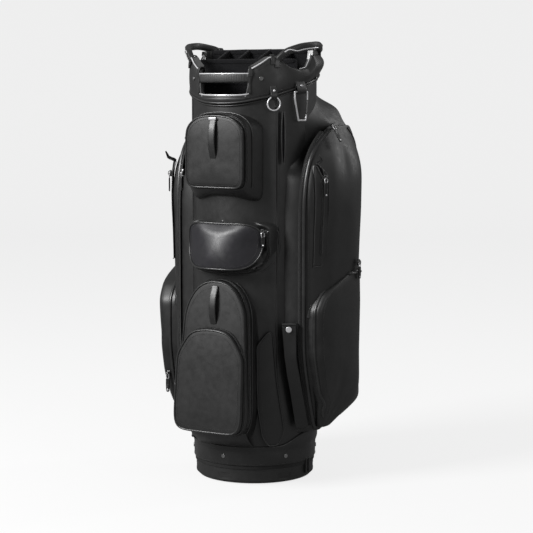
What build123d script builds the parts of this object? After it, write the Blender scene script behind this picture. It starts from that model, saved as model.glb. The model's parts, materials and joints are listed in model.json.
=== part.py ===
"""Golf staff bag: free-standing club bag with a full-length divider top.

Millimetres, +Z up. The origin is the centre of the round base at floor level, the front stack of
pockets faces -Y, and the right-hand side of the bag, seen from the front, is +X.
"""
from build123d import *
import math
import os

# ---- driving dimensions -------------------------------------------------------------------------
GAP = 0.4            # clearance between parts that move past each other
SKIN = 3.0           # padded synthetic leather
TUBE_R = 127.0       # outside of the padded cover: the top size is ten inches
COVER_IN = 124.0     # inside of the cover
BOARD_IN = 121.8     # inside of the rolled board tube
BODY_BOTTOM = 76.0   # lower edge of the cover
FRAME_LOW = 757.0    # lower edge of the moulded top ring
BASE_R = 121.0
BASE_H = 30.0
SKIRT_R = 124.5
SKIRT_LOW = 39.0
RIM_IN = 119.0
FRAME_OUT = 123.6
LIP_OUT = 130.6      # glossy lip along the rim
LIP_HEIGHT = 9.0
COLLAR_OUT = 131.4
COVER_CLEAR = 127.4  # pockets are trimmed to this radius
SEAM_ANGLE = 51.0    # front panel seams, degrees either side of the front

POCKET_BACK = -96.0  # pockets start inside the cover and are trimmed to it
VAL_FACE = -158.0    # valuables pocket
VAL_ZIP = -148.0
VAL_LOW = 604.0
VAL_TOP = 741.0
VAL_HALF = 63.0
BALL_LOW = 112.0     # ball pocket
BALL_TOP = 418.0
PANEL_TOP = 322.0
RANGE_TOP = 534.0    # rangefinder pocket
RANGE_LOW = 434.0
LID_DEPTH = 12.0
PANEL_DEPTH = 14.0

ZIP_FRONT = (142.0, -60.0)   # side pocket zip line, plan view
ZIP_REAR = (166.0, 122.0)    # side pocket hinge line, plan view
WELL = 48.0          # divider pitch
DIVIDER = 3.0        # divider thickness
GRID_FRONT = -26.0   # front cross bar of the divider grid

STAY_R = 113.4       # stay rods stand inside the tube

CENTRE_LOW = (Align.CENTER, Align.CENTER, Align.MIN)


# ---- small tools --------------------------------------------------------------------------------
def rod(radius, low, high):
    return Pos(0, 0, low) * Cylinder(radius, high - low, align=CENTRE_LOW)


def ring(outer, inner, low, high):
    return rod(outer, low, high) - rod(inner, low - 1, high + 1)


def block(low, high):
    """A box from one corner to the opposite one."""
    size = [high[i] - low[i] for i in range(3)]
    middle = [(high[i] + low[i]) / 2 for i in range(3)]
    return Pos(*middle) * Box(*size)


def outline(points, radius=0.0):
    """A closed flat shape through the points, with its corners rounded."""
    if radius > 0:
        return make_face(FilletPolyline(*points, radius=radius, close=True))
    return make_face(Polyline(*points, close=True))


def front_prism(shape, near, far):
    """Extrude an X-Z outline from y = far forwards to y = near."""
    return extrude(Plane.XZ.offset(-far) * shape, far - near)


def side_prism(shape, left, right):
    """Extrude a Y-Z outline along X."""
    return extrude(Plane.YZ.offset(left) * shape, right - left)


def plan_prism(shape, low, high):
    return extrude(Plane.XY.offset(low) * shape, high - low)


def inset(points, distance):
    """Move every side of a counter-clockwise polygon inwards; negative moves it outwards."""
    moved = []
    count = len(points)
    for i in range(count):
        (ax, ay), (bx, by), (cx, cy) = points[i - 1], points[i], points[(i + 1) % count]
        d1 = (bx - ax, by - ay)
        d2 = (cx - bx, cy - by)
        l1 = math.hypot(*d1)
        l2 = math.hypot(*d2)
        n1 = (-d1[1] / l1, d1[0] / l1)
        n2 = (-d2[1] / l2, d2[0] / l2)
        scale = distance / (1 + n1[0] * n2[0] + n1[1] * n2[1])
        moved.append((bx + (n1[0] + n2[0]) * scale, by + (n1[1] + n2[1]) * scale))
    return moved


def stack(levels):
    """A solid through horizontal polygons, given as (height, points) from the bottom up."""
    faces = [Plane.XY.offset(z) * outline(points) for z, points in levels]
    return loft(faces, ruled=True)


def step(value, table):
    """Read a table of (input, output) pairs with straight lines between them."""
    for (a, fa), (b, fb) in zip(table, table[1:]):
        if value <= b:
            return fa + (fb - fa) * (value - a) / (b - a)
    return table[-1][1]


def around(angle, radius, z=0.0):
    """A point on a cylinder; the angle is in degrees from the front towards +X."""
    a = math.radians(angle)
    return (radius * math.sin(a), -radius * math.cos(a), z)


def mirror_x(part):
    return mirror(part, about=Plane.YZ)


def group(parts):
    return Compound(children=list(parts))


def main_solid(part):
    """The largest solid of a result, as one shape."""
    return max(part.solids(), key=lambda s: s.volume)


# ---- base ---------------------------------------------------------------------------------------
FOOT_R = 14.0
FOOT_CIRCLE = 88.0


def foot_places():
    """One foot in the middle and four around it."""
    return [Pos(0, 0, 0)] + [Rot(0, 0, 45 + 90 * i) * Pos(0, -FOOT_CIRCLE, 0) for i in range(4)]


def base_cup():
    cup = rod(BASE_R, 2, BASE_H)
    cup = chamfer(cup.edges().group_by(Axis.Z)[0], 6)
    wall = rod(COVER_IN - 2.6, BASE_H, 74)
    hollow = rod(COVER_IN - 5.8, 8, 80)
    grooves = [Rot(0, 0, 60 * i) * block((-14, -BASE_R - 2, 12), (14, -BASE_R + 1.2, 22)) for i in range(6)]
    feet = [place * Pos(0, 0, 2) * Cylinder(FOOT_R + 0.2, 3, align=CENTRE_LOW) for place in foot_places()]
    cup = cup + wall - hollow
    for cut in grooves + feet:
        cup = cup - cut
    return cup


def base_feet():
    foot = Cylinder(FOOT_R, 5, align=CENTRE_LOW)
    foot = fillet(foot.edges().group_by(Axis.Z)[0], 1.2)
    return group([place * foot for place in foot_places()])


def base_skirt():
    skirt = ring(SKIRT_R, COVER_IN + 0.2, SKIRT_LOW, BODY_BOTTOM - 0.6)
    tab = block((-7, -SKIRT_R - 2.5, 26), (7, -SKIRT_R + 0.4, 60))
    tabs = [Rot(0, 0, a) * (tab - rod(SKIRT_R - 0.1, 20, 70)) for a in (90, -90)]
    for item in tabs:
        skirt = skirt + item
    return skirt


def bottom_pad():
    return fillet(rod(COVER_IN - 7, 8.4, 18).edges(), 2)


# ---- tube ---------------------------------------------------------------------------------------
def body_board():
    return ring(COVER_IN - 0.2, BOARD_IN, SKIRT_LOW, FRAME_LOW - 0.4)


def body_cover():
    """Padded cover up to the collar, with its two front seams pressed in as grooves."""
    cover = ring(TUBE_R, COVER_IN, BODY_BOTTOM, 840) & under(SEAM_LINE, GAP)
    for side in (-1, 1):
        x, y, _ = around(SEAM_ANGLE * side, TUBE_R)
        cover = cover - Pos(x, y, 560) * Cylinder(1.1, 420)
    return main_solid(cover)


def stay_rods():
    """Rods between the cup and the top frame that keep the tube straight."""
    stays = []
    for angle in (60, 180, 300):
        x, y, _ = around(angle, STAY_R)
        stays.append(Pos(x, y, 18.4) * Cylinder(3.5, 738, align=CENTRE_LOW))
    return group(stays)


def spine_pad():
    """Padded panel down the back between the side pockets."""
    arc = [around(a, TUBE_R + 0.4) for a in (154, 180, 206)]
    outer = [around(a, TUBE_R + 12) for a in (206, 180, 154)]
    edge = ThreePointArc(arc[0][:2], arc[1][:2], arc[2][:2])
    back = ThreePointArc(outer[0][:2], outer[1][:2], outer[2][:2])
    sides = Line(arc[2][:2], outer[0][:2]) + Line(outer[2][:2], arc[0][:2])
    pad = plan_prism(make_face(edge + sides + back), 110, 752)
    channel = Pos(0, TUBE_R + 14, 430) * Cylinder(5, 560)
    return pad - channel


def rear_handle():
    """Grab loop on the spine."""
    path = Spline((0, 152, 640), (0, 170, 600), (0, 152, 560))
    grip = sweep(Plane(origin=path @ 0, z_dir=path % 0) * RectangleRounded(24, 6, 2.5), path=path)
    feet = [block((-14, 139.6, z - 16), (14, 146, z + 16)) for z in (560, 640)]
    return main_solid(grip + feet[0] + feet[1])


# ---- top ----------------------------------------------------------------------------------------
RIM_LINE = [(-132, 820), (-114, 829), (-108, 836), (-92, 854), (-60, 862), (0, 867), (60, 871), (132, 874)]
SEAM_LINE = [(-134, 762), (-119, 768), (-104, 775), (-69, 787), (-18, 803), (60, 822), (134, 828)]
TROUGH = [(-86, 900), (-84, 852), (-58, 833), (-34, 828), (-12, 832), (4, 850), (14, 900)]
BAR_LOW = 804.0
BAR_IN = 120.6
OPEN_LOW = 778.0
HANDLE_ANGLE = 25.0


def under(line, drop=0.0):
    """Everything below a side-view line, across the whole width."""
    points = [(y, z - drop) for y, z in line]
    points += [(line[-1][0], 0), (line[0][0], 0)]
    return side_prism(outline(points), -200, 200)


def front_opening(top):
    half = TUBE_R * math.sin(math.radians(HANDLE_ANGLE))
    shape = outline([(-half, OPEN_LOW), (half, OPEN_LOW), (half, top), (-half, top)], 9)
    return front_prism(shape, -160, -80)


def side_openings():
    return side_prism(outline(TROUGH, 5), -200, 200) - block((-90, -200, 700), (90, 200, 950))


def top_frame():
    """Moulded top ring with the front bar inside the grip and a dip at each side handle."""
    frame = ring(FRAME_OUT, RIM_IN, FRAME_LOW, 890) & under(RIM_LINE)
    lip = (ring(LIP_OUT, RIM_IN, 790, 890) & under(RIM_LINE)) - under(RIM_LINE, LIP_HEIGHT)
    frame = frame + lip - front_opening(880) - side_openings()
    bar = ring(FRAME_OUT, BAR_IN, 808, 818) & block((-60, -140, 800), (60, -90, 830))
    return main_solid(frame + bar)


def screws():
    """Pan-head screws: six through the skirt into the cup, six through the collar into the frame."""
    head = Rot(90, 0, 0) * Cylinder(4.2, 2.0)
    head = fillet(head.edges(), 0.8)
    low = [hung(head, 60 * i, 57, SKIRT_R + 1.5) for i in range(6)]
    high = [hung(head, angle, 812, COLLAR_OUT + 1.5) for angle in (-140, -100, -36, 36, 100, 140)]
    return group(low + high)


def front_handle():
    """Padded grip around the front bar."""
    reach = block((-53, -140, 800), (53, -90, 826))
    grip = ring(130, 117.4, BAR_LOW, 822) & reach
    hole = ring(FRAME_OUT + 0.3, BAR_IN - 0.3, 807.7, 818.3)
    return main_solid(grip) - hole


def side_handle(side):
    """Raised carry handle over the dip in the rim."""
    points = [around(a * side, r, z) for a, r, z in
              ((50, 124, 852), (64, 133, 869), (86, 140, 877), (104, 134, 875), (116, 124, 864))]
    path = Spline(*points)
    bar = sweep(Plane(origin=path @ 0, z_dir=path % 0) * RectangleRounded(15, 13, 5), path=path)
    seat = rod(COLLAR_OUT + 0.3, 700, 900) & under(RIM_LINE, -0.4)
    return main_solid(bar - (seat - side_openings()))


def collar():
    """Leather collar: low at the front, high at the back, open at the handles."""
    band = ring(COLLAR_OUT, FRAME_OUT + 0.3, 740, 880) & under(RIM_LINE, LIP_HEIGHT + GAP)
    band = band - under(SEAM_LINE) - side_openings() - front_opening(880)
    return main_solid(band)


def grid_top(y):
    return step(y, [(-30, 848), (-26, 850), (8, 869), (130, 873)])


def grid_bars():
    return [GRID_FRONT + WELL * i for i in range(3)]


def divider_x():
    return [WELL * (i - 1.5) for i in range(4)]


def divider_bars(low, top_of, thickness):
    """Cross bars and the short dividers between them, as separate straight pieces."""
    pieces = []
    radius = RIM_IN - 2
    bars = grid_bars()
    for y in bars:
        half = math.sqrt(radius ** 2 - (abs(y) + thickness / 2) ** 2) - 0.5
        pieces.append(block((-half, y - thickness / 2, low), (half, y + thickness / 2, top_of(y))))
    for x in divider_x():
        limit = math.sqrt(radius ** 2 - (abs(x) + thickness / 2) ** 2) - 0.5
        ends = [bars[1], bars[2], limit + thickness / 2]
        for start, end in zip(bars, ends):
            a = start + thickness / 2
            b = end - thickness / 2
            shape = outline([(a, low), (b, low), (b, top_of(b)), (a, top_of(a))])
            pieces.append(side_prism(shape, x - thickness / 2, x + thickness / 2))
    return pieces


def divider_grid():
    return group(divider_bars(800, grid_top, DIVIDER))


def divider_sleeves():
    """Full-length fabric dividers hung under the grid."""
    return group(divider_bars(19, lambda y: 799.6, 1.0))


# ---- front pockets ------------------------------------------------------------------------------
def arch(half, low, high, crown, radius):
    """Front view of a pocket: straight sides and an arched top."""
    points = [(-half, low), (half, low), (half, high - crown * 2.4), (half * 0.62, high - crown * 0.35)]
    points += [(0, high), (-half * 0.62, high - crown * 0.35), (-half, high - crown * 2.4)]
    return outline(points, radius)


def loft_back(front_y, front_shape, back_y, back_shape):
    return loft([Plane.XZ.offset(-front_y) * front_shape, Plane.XZ.offset(-back_y) * back_shape], ruled=True)


def valuables_body(wall):
    front = arch(VAL_HALF - wall, VAL_LOW + wall, VAL_TOP - wall, 10, 6)
    back = arch(VAL_HALF + 20 - wall, VAL_LOW - 50 + wall, VAL_TOP + 10 - wall, 10, 6)
    return loft_back(VAL_FACE - 0.01, front, POCKET_BACK + 0.01, back)


def valuables_pocket():
    depth = block((-120, VAL_ZIP, 500), (120, POCKET_BACK, 800))
    return main_solid((valuables_body(0) & depth) - valuables_body(SKIN) - rod(COVER_CLEAR, 500, 800))


def valuables_lid():
    depth = block((-120, VAL_FACE, 500), (120, VAL_ZIP - GAP, 800))
    hollow = valuables_body(SKIN) & block((-120, VAL_FACE + SKIN, 500), (120, VAL_ZIP, 800))
    return main_solid((valuables_body(0) & depth) - hollow)


def pull_loop(y, low, high, lean=0.0):
    """Leather strap handle sewn to a lid at both ends and bowed out in between."""
    middle = (low + high) / 2
    bow = y - 9 - lean / 2
    path = Spline((0, y - 1.8, high), (0, bow, middle + 22), (0, bow, middle - 22), (0, y - 1.8 - lean, low))
    return sweep(Plane(origin=path @ 0, z_dir=path % 0, x_dir=(1, 0, 0)) * Rectangle(13, 2.4), path=path)


BALL_FRONT = [(BALL_LOW, -177), (330, -160), (BALL_TOP + 6, -151)]   # height and depth of the lid's face


def lean_strip(low, high, shift_near, shift_far):
    """Y-Z strip that follows the leaning face of the ball pocket between two depths."""
    heights = (high, 330, low)
    ys = [step(z, BALL_FRONT) for z in heights]
    near = [(y + shift_near, z) for y, z in zip(ys, heights)]
    far = [(y + shift_far, z) for y, z in zip(ys, heights)]
    return outline(near + far[::-1])


def ball_body(wall):
    """Front view widens towards the bottom; plan view narrows towards the tube."""
    def shape(top_half, low_half):
        low = BALL_LOW + wall
        high = BALL_TOP - wall
        points = [(-low_half, low), (low_half, low), (top_half, 360), (top_half * 0.6, high - 8)]
        points += [(0, high), (-top_half * 0.6, high - 8), (-top_half, 360)]
        return outline(points, 6)
    return loft_back(-215, shape(72 - wall, 99 - wall), POCKET_BACK, shape(66 - wall, 66 - wall))


def ball_pocket():
    zone = side_prism(lean_strip(BALL_LOW, BALL_TOP + 4, LID_DEPTH, 200), -130, 130)
    zone = zone & block((-130, -220, 70), (130, POCKET_BACK, 430))
    shell = (ball_body(0) & zone) - ball_body(SKIN)
    under_side = [(-163, BALL_LOW + 1), (-125, 80), (-96, 80)]
    floor_shape = outline(under_side + [(-96, 83.5), (-126, 83.5), (-158, BALL_LOW + 1)])
    floor = side_prism(floor_shape, -68, 68)
    return main_solid(shell + floor - rod(COVER_CLEAR, 50, 500))


def ball_lid():
    outer = ball_body(0) & side_prism(lean_strip(BALL_LOW, BALL_TOP, 0, LID_DEPTH - GAP), -130, 130)
    hollow = ball_body(SKIN) & side_prism(lean_strip(BALL_LOW, BALL_TOP, SKIN, LID_DEPTH + 1), -130, 130)
    return main_solid(outer - hollow)


def front_panel():
    """Zip-off panel on the ball pocket lid."""
    low = BALL_LOW + 3

    def shape(wall):
        top = PANEL_TOP - wall
        half = 76 - wall
        right = [(half + 2, low + wall), (half, 268), (half * 0.6, top - 6)]
        points = right + [(0, top)] + [(-x, z) for x, z in right[::-1]]
        return outline(points, 6)
    strip = side_prism(lean_strip(BALL_LOW, 340, -PANEL_DEPTH, -GAP), -130, 130)
    inside = side_prism(lean_strip(BALL_LOW, 340, SKIN - PANEL_DEPTH, 1), -130, 130)
    outer = front_prism(shape(0), -230, -120) & strip
    hollow = front_prism(shape(SKIN), -230, -120) & inside
    return main_solid(outer - hollow)


def range_views(wall, shift):
    """The pouch where its front, side and plan outlines meet."""
    low = RANGE_LOW + wall
    right = [(66 - wall, low), (96 - wall, 478), (100 - wall, 526)]
    left = [(-x, z) for x, z in right[::-1]]
    front = outline(right + [(0, RANGE_TOP + 2)] + left, 5)
    side = outline([(-129, RANGE_TOP), (-150, 500), (-159 + wall, 458), (-156 + wall, RANGE_LOW + 4),
                    (-127, low - 4), (-70, low - 4), (-70, RANGE_TOP)])
    arc = ThreePointArc((-101 + wall, -76), (0, -159 + wall), (101 - wall, -76))
    plan = make_face(arc + Line((101 - wall, -76), (-101 + wall, -76)))
    body = front_prism(front, -200, -70) & side_prism(side, -120, 120)
    return body & (Pos(0, shift, 0) * plan_prism(plan, 400, 560))


RANGE_HALF = 88.0
RANGE_HINGE = 528.0


def rangefinder_flap():
    sheet = range_views(0, 0) - (Pos(0, SKIN, 0) * range_views(0, 0)) - rod(COVER_CLEAR + 0.6, 400, 600)
    return main_solid(sheet & block((-RANGE_HALF, -170, RANGE_LOW + 3), (RANGE_HALF, -90, RANGE_HINGE)))


def rangefinder_pocket():
    face = Pos(0, SKIN + GAP, 0) * range_views(0, 0)
    shell = (range_views(0, 0) & face) - (Pos(0, -4, 0) * range_views(SKIN, 0))
    sides = range_views(0, 0) & (block((-120, -170, 400), (-RANGE_HALF - GAP, -70, 560))
                                 + block((RANGE_HALF + GAP, -170, 400), (120, -70, 560)))
    sides = sides - range_views(SKIN, 0)
    return main_solid(shell + sides - rod(COVER_CLEAR, 400, 600))


# ---- side pockets (right-hand side; the left is its mirror) -------------------------------------
ZIP_Y = [(100, -18), (128, -29), (189, -43), (260, -60), (575, -60), (633, -50), (682, -26), (712, 8),
         (722, 40)]
REAR_Y = [(100, -10), (128, 50), (156, 122), (700, 122), (722, 100)]
BULGE = [(100, 0.1), (128, 0.35), (156, 0.55), (200, 0.78), (440, 0.85), (506, 0.92), (547, 1.0), (616, 1.06),
         (640, 0.95), (670, 0.60), (704, 0.13), (722, 0.04)]
LID_CURVE = [(0.02, 20), (0.30, 37), (0.63, 41), (0.83, 38), (0.97, 24)]
LID_LEVELS = (104, 128, 156, 200, 260, 360, 440, 506, 547, 575, 616, 640, 670, 704, 720)
SEAM_FOOT = [(90, 66), (214, 56), (330, SEAM_ANGLE), (800, SEAM_ANGLE)]


def zip_plane(y, out=0.0):
    """A point on the upright plane that the side pocket's zip lies in, moved outwards by `out`."""
    run = (ZIP_REAR[0] - ZIP_FRONT[0]) / (ZIP_REAR[1] - ZIP_FRONT[1])
    length = math.hypot(run, 1)
    return (ZIP_FRONT[0] + run * (y - ZIP_FRONT[1]) + out / length, y - out * run / length)


def lid_section(z, out=GAP):
    """Plan outline of the garment lid at one height, counter-clockwise."""
    front = step(z, ZIP_Y)
    rear = step(z, REAR_Y)
    scale = step(z, BULGE)
    points = [zip_plane(front, out)]
    for t, depth in LID_CURVE:
        points.append(zip_plane(front + (rear - front) * t, max(depth * scale, 1.5 + out)))
    points.append(zip_plane(rear, out))
    return points


def lid_stack(distance):
    return stack([(z, inset(lid_section(z), distance)) for z in LID_LEVELS])


def garment_lid():
    """Padded shell hinged down its rear edge and zipped round the others."""
    levels = [z for z in LID_LEVELS if 140 < z < 700]
    hollow = []
    for z in levels:
        points = inset(lid_section(z), SKIN)
        points[0] = zip_plane(points[0][1], -2)
        points[-1] = zip_plane(points[-1][1], -2)
        hollow.append((z, points))
    return main_solid(lid_stack(0) - stack(hollow))


POCKET_LEVELS = (112, 156, 200, 260, 300, 360, 400, 446)
LEFT_FULLNESS = 1.45     # the left pocket stands further off its lid
POCKET_BULGE = [(100, 0.4), (128, 0.62), (156, 0.80), (200, 0.92), (260, 0.93), (360, 1.0), (446, 0.95)]


def pocket_section(z, distance, fullness=1.0):
    front = step(z, ZIP_Y) + 3
    rear = step(z, REAR_Y) - 6
    scale = step(z, POCKET_BULGE) * fullness
    points = [zip_plane(front + 2, 4)]
    for t, depth in ((0.03, 40), (0.32, 45), (0.63, 44), (0.83, 41), (0.96, 25)):
        points.append(zip_plane(front + (rear - front) * t, depth * scale))
    points.append(zip_plane(rear, 4))
    return inset(points, distance)


def side_pocket(fullness=1.0):
    """Lower pocket that stands proud of the lid, with a slanting zipped mouth."""
    slant = [(-90, 60), (140, 60), (140, 442), (85, 438), (20, 414), (-33, 390), (-60, 352), (-90, 340)]
    mouth = side_prism(outline(slant), 100, 260)
    outer = stack([(z, pocket_section(z, 0, fullness)) for z in POCKET_LEVELS]) & mouth
    inner = stack([(z, pocket_section(z, SKIN, fullness)) for z in POCKET_LEVELS]) & (Pos(0, 0, -3) * mouth)
    inner = inner & block((0, -200, 122), (300, 200, 500))
    shell = outer - inner
    return main_solid(shell - lid_stack(-0.3))


def slit_pocket():
    """Flat sewn-on pocket near the front edge of the lid, with an upright zip under its top."""
    levels = (440, 506, 547, 575, 616, 640, 670)
    layer = stack([(z, inset(lid_section(z), -2.4)) for z in levels]) - lid_stack(-0.2)
    view = outline([(-52, 425), (-22, 452), (-22, 622), (-44, 650), (-52, 652)], 3)
    return main_solid(layer & side_prism(view, 150, 260))


SHOULDER = [(96, -18), (156, 0), (700, 0), (722, -6), (732, -14), (762, -36), (786, -47), (800, -52)]
SHOULDER_BACK = [(96, 0), (700, 0), (722, -3), (762, -18), (786, -24), (800, -26)]


def gusset_section(z, wall):
    """Plan outline of the fixed part of the side pocket at one height."""
    seam = step(z, SEAM_FOOT)
    start = around(seam, TUBE_R - 6)
    front = zip_plane(step(z, ZIP_Y + [(760, 60), (800, 70)]))
    rear = zip_plane(step(z, [(96, 20), (128, 80), (156, 122), (700, 122), (722, 112), (800, 90)]))
    pull = step(z, SHOULDER)
    tuck = step(z, SHOULDER_BACK)
    back = (118 + tuck, 127 + tuck)
    points = [start[:2], (front[0] + pull, front[1]), (rear[0] + pull, rear[1]), back, (60, 100)]
    return inset(points, wall)


GUSSET_LEVELS = (98, 128, 156, 189, 260, 330, 575, 633, 682, 712, 722, 762, 786)


def garment_pocket():
    """Fixed shell of the side pocket; the tube's cover is its inner wall."""
    outer = stack([(z, gusset_section(z, 0)) for z in GUSSET_LEVELS])
    levels = [z for z in GUSSET_LEVELS if 120 < z < 720]
    hollow = []
    for z in levels:
        points = gusset_section(z, SKIN)
        points[1] = (points[1][0] + 6, points[1][1])
        points[2] = (points[2][0] + 6, points[2][1])
        hollow.append((z, points))
    shell = outer - stack(hollow) - rod(COLLAR_OUT + 0.6, 50, 900)
    slot = Pos(112, -76, 696) * Rot(0, 0, 26) * Box(7, 30, 104)
    return main_solid(shell - slot)


SLEEVE_DEPTH = 16.0


def sleeve_section(z, out):
    """Plan outline of the umbrella sleeve: a strip in front of the gusset, `out` proud of it."""
    seam = around(step(z, SEAM_FOOT) + 2, TUBE_R + 3)
    zipper = zip_plane(step(z, ZIP_Y))
    near, far = [[seam[i] + (zipper[i] - seam[i]) * part for i in (0, 1)] for part in (0.08, 0.8)]
    length = math.hypot(far[0] - near[0], far[1] - near[1])
    nx = (far[1] - near[1]) / length
    ny = -(far[0] - near[0]) / length
    return [(near[0] - nx * 8, near[1] - ny * 8), (near[0] + nx * out, near[1] + ny * out),
            (far[0] + nx * out, far[1] + ny * out), (far[0] - nx * 8, far[1] - ny * 8)]


def umbrella_sleeve():
    """Open-topped sleeve on the right gusset that holds an umbrella's tip."""
    levels = ((112, 0.45), (189, 0.7), (260, 0.95), (330, 1.0))
    sections = [(z, sleeve_section(z, SLEEVE_DEPTH * fullness)) for z, fullness in levels]
    outer = stack(sections)
    inner = stack([(z, inset(points, 2)) for z, points in sections])
    inner = inner & block((0, -200, 116), (200, 0, 340))
    sleeve = outer - inner - stack([(z, gusset_section(z, -0.3)) for z in GUSSET_LEVELS])
    return main_solid(sleeve - rod(TUBE_R + 0.4, 50, 500))


def sleeve_snap():
    cap = fillet(Cylinder(6, 3).edges(), 1.2)
    near, far = sleeve_section(318, SLEEVE_DEPTH + 1.8)[1:3]
    middle = ((near[0] + far[0]) / 2, (near[1] + far[1]) / 2, 318)
    return Plane(origin=middle, z_dir=(far[1] - near[1], near[0] - far[0], 0)).location * cap


def strap_guards():
    """Curved flaps over the cart strap channel, one each side of the ball pocket."""
    plate = ring(TUBE_R + 4.6, TUBE_R + 0.5, 50, 400)
    corners = [(46, 320), (30, 277), (32, 176), (37, 100), (43, 80), (52, 82), (57, 110), (50, 214)]
    view = outline([(around(a, TUBE_R + 2)[0], z) for a, z in corners], 4)
    right = main_solid((plate & front_prism(view, -160, -40)) - ball_body(-0.6))
    right = main_solid(right - stack([(z, gusset_section(z, -0.4)) for z in GUSSET_LEVELS]))
    return group([right, mirror_x(right)])


# ---- zips ---------------------------------------------------------------------------------------
def chain(points, radius=1.9):
    path = Spline(*points)
    return sweep(Plane(origin=path @ 0, z_dir=path % 0) * Circle(radius), path=path)


def valuables_zip():
    """Follows the arch of the pocket a little outside it."""
    half = VAL_HALF + 7.4
    high = VAL_TOP + 5.4
    right = [(half * 0.64, high - 3), (half, high - 22), (half, 612)]
    points = [(-x, z) for x, z in right[::-1]] + [(0, high)] + right
    path = FilletPolyline(*[(x, VAL_ZIP - 0.2, z) for x, z in points], radius=6)
    return sweep(Plane(origin=path @ 0, z_dir=path % 0) * Circle(1.6), path=path)


def ball_zip():
    right = [(48, 413), (74, 350), (83, 220), (89, 126)]
    left = [(-x, z) for x, z in right[::-1]]
    points = [(x, step(z, BALL_FRONT) + LID_DEPTH - 0.2, z) for x, z in left + [(0, 424)] + right]
    return chain(points)


def garment_zip():
    heights = (118, 160, 210, 262, 340, 460, 573, 633, 682, 710)
    points = [zip_plane(step(z, ZIP_Y) - 3.6, 0.2) + (z,) for z in heights]
    return chain(points)


def zip_chains():
    """The fixed half of each zip, sewn to the pocket it closes."""
    right = garment_zip()
    return group([valuables_zip(), ball_zip(), right, mirror_x(right)])


# Zip hardware is drawn flat: local Z points away from the cloth, local Y up the zip.
def slider():
    body = fillet(Box(8.4, 13, 3.4).edges().filter_by(Axis.Z), 2.6)
    bridge = Pos(0, 0, 3.6) * Box(2.2, 9, 4.2) - Pos(0, 0, 3.0) * Box(6, 5.6, 3.0)
    return body + bridge


def pull_tab(length=30.0):
    """Wire bail through the slider's bridge with a moulded tab on it; it hangs down local -Y."""
    bail = Pos(0, 0, 3.0) * Rot(0, 90, 0) * Cylinder(0.8, 7.4)
    arms = [Pos(x, -4.4, 3.0) * Box(1.5, 9.4, 1.5) for x in (-3.2, 3.2)]
    tab = Pos(0, -8 - length / 2, 3.0) * Box(8, length, 2.6)
    tab = fillet(tab.edges().filter_by(Axis.Z), 1.8)
    return bail + arms[0] + arms[1] + tab


def on_edge(points, corner, share, lift, z):
    """A point and outward direction on one side of a counter-clockwise plan outline."""
    (ax, ay), (bx, by) = points[corner], points[corner + 1]
    length = math.hypot(bx - ax, by - ay)
    out = ((by - ay) / length, (ax - bx) / length)
    return (ax + (bx - ax) * share + out[0] * lift, ay + (by - ay) * share + out[1] * lift, z), out + (0,)


def hardware_spot(kind):
    spots = {
        "valuables": ((-VAL_HALF - 14.2, VAL_ZIP, 628), (-1, 0, 0)),
        "ball": ((-88.4, -157.9, 206), (-1, 0, 0)),
        "slit": on_edge(lid_section(617), 1, 0.45, 7.2, 617),
        "garment": ((163.0, 30.0, 717), (0.84, -0.16, 0.52)),
        "side_front": on_edge(pocket_section(196, 0, LEFT_FULLNESS), 0, 0.72, 3.4, 196),
        "side_rear": on_edge(pocket_section(430, 0), 3, 0.7, 2.6, 442),
        "range": ((85.8, -117.4, 512), (0.816, -0.578, 0)),
    }
    return spots[kind]


def put(kind, part, left=False):
    origin, out = hardware_spot(kind)
    out = Vector(*out).normalized()
    up = (Vector(0, 0, 1) - out * out.Z).normalized()
    placed = Plane(origin=origin, x_dir=up.cross(out), z_dir=out).location * part
    return mirror_x(placed) if left else placed


# ---- hanging hardware ---------------------------------------------------------------------------
RING_ANGLE = 46.6
RING_TOP = 776.0
CLIP_ANGLE = 73.0
CLIP_TOP = 786.0
TAB_R = 135.4


def hung(part, angle, height, radius=TAB_R):
    """Place a part drawn in the X-Z plane, hanging from the origin, on the side of the collar."""
    x, y, _ = around(angle, radius)
    return Pos(x, y, height) * Rot(0, 0, angle) * part


def hanging_tabs():
    """Leather tabs with a pin each, for the accessory ring and the towel clip."""
    tabs = []
    for angle, height, wide in ((RING_ANGLE, RING_TOP, 8), (CLIP_ANGLE, CLIP_TOP, 14)):
        tab = Pos(0, 0, 5.2) * Box(wide, 5.6, 19.6) - Rot(0, 90, 0) * Cylinder(2.3, 40)
        tabs.append(hung(tab, angle, height))
    return group(tabs)


def accessory_ring():
    loop = Pos(0, 0, -13) * Rot(90, 0, 0) * Torus(13, 1.5)
    return hung(loop, RING_ANGLE, RING_TOP)


CLIP_WIRE = 1.8


def towel_clip():
    """Trapezium snap frame, open on its right side where the gate closes it."""
    corners = [(17, -16), (17, 0), (-17, 0), (-17, -14), (-7, -56), (12, -56), (14.4, -45)]
    path = Polyline(*[(x, 0, z) for x, z in corners])
    start = Plane(origin=path @ 0, z_dir=path % 0)
    frame = sweep(start * Circle(CLIP_WIRE), path=path, transition=Transition.ROUND)
    return hung(frame, CLIP_ANGLE, CLIP_TOP)


def clip_gate():
    path = Line((17, 0, -18.5), (14.6, 0, -42.5))
    gate = sweep(Plane(origin=path @ 0, z_dir=path % 0) * Circle(2.2), path=path)
    return hung(gate, CLIP_ANGLE, CLIP_TOP)


# ---- shoulder strap -----------------------------------------------------------------------------
STRAP_Y = 145.5
STRAP_X = 36.0


def strap_path():
    """The strap hangs slack down one side of the spine."""
    bow = [(0, 0, 712), (8, 6, 640), (12, 9, 500), (8, 6, 360), (0, 0, 274)]
    return Spline(*[(STRAP_X + x, STRAP_Y + y, z) for x, y, z in bow])


def strap_band(width, thick):
    path = strap_path()
    start = Plane(origin=path @ 0, z_dir=path % 0, x_dir=(1, 0, 0))
    return sweep(start * Rectangle(width, thick), path=path)


def shoulder_strap():
    return main_solid(strap_band(36, 2.6))


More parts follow.
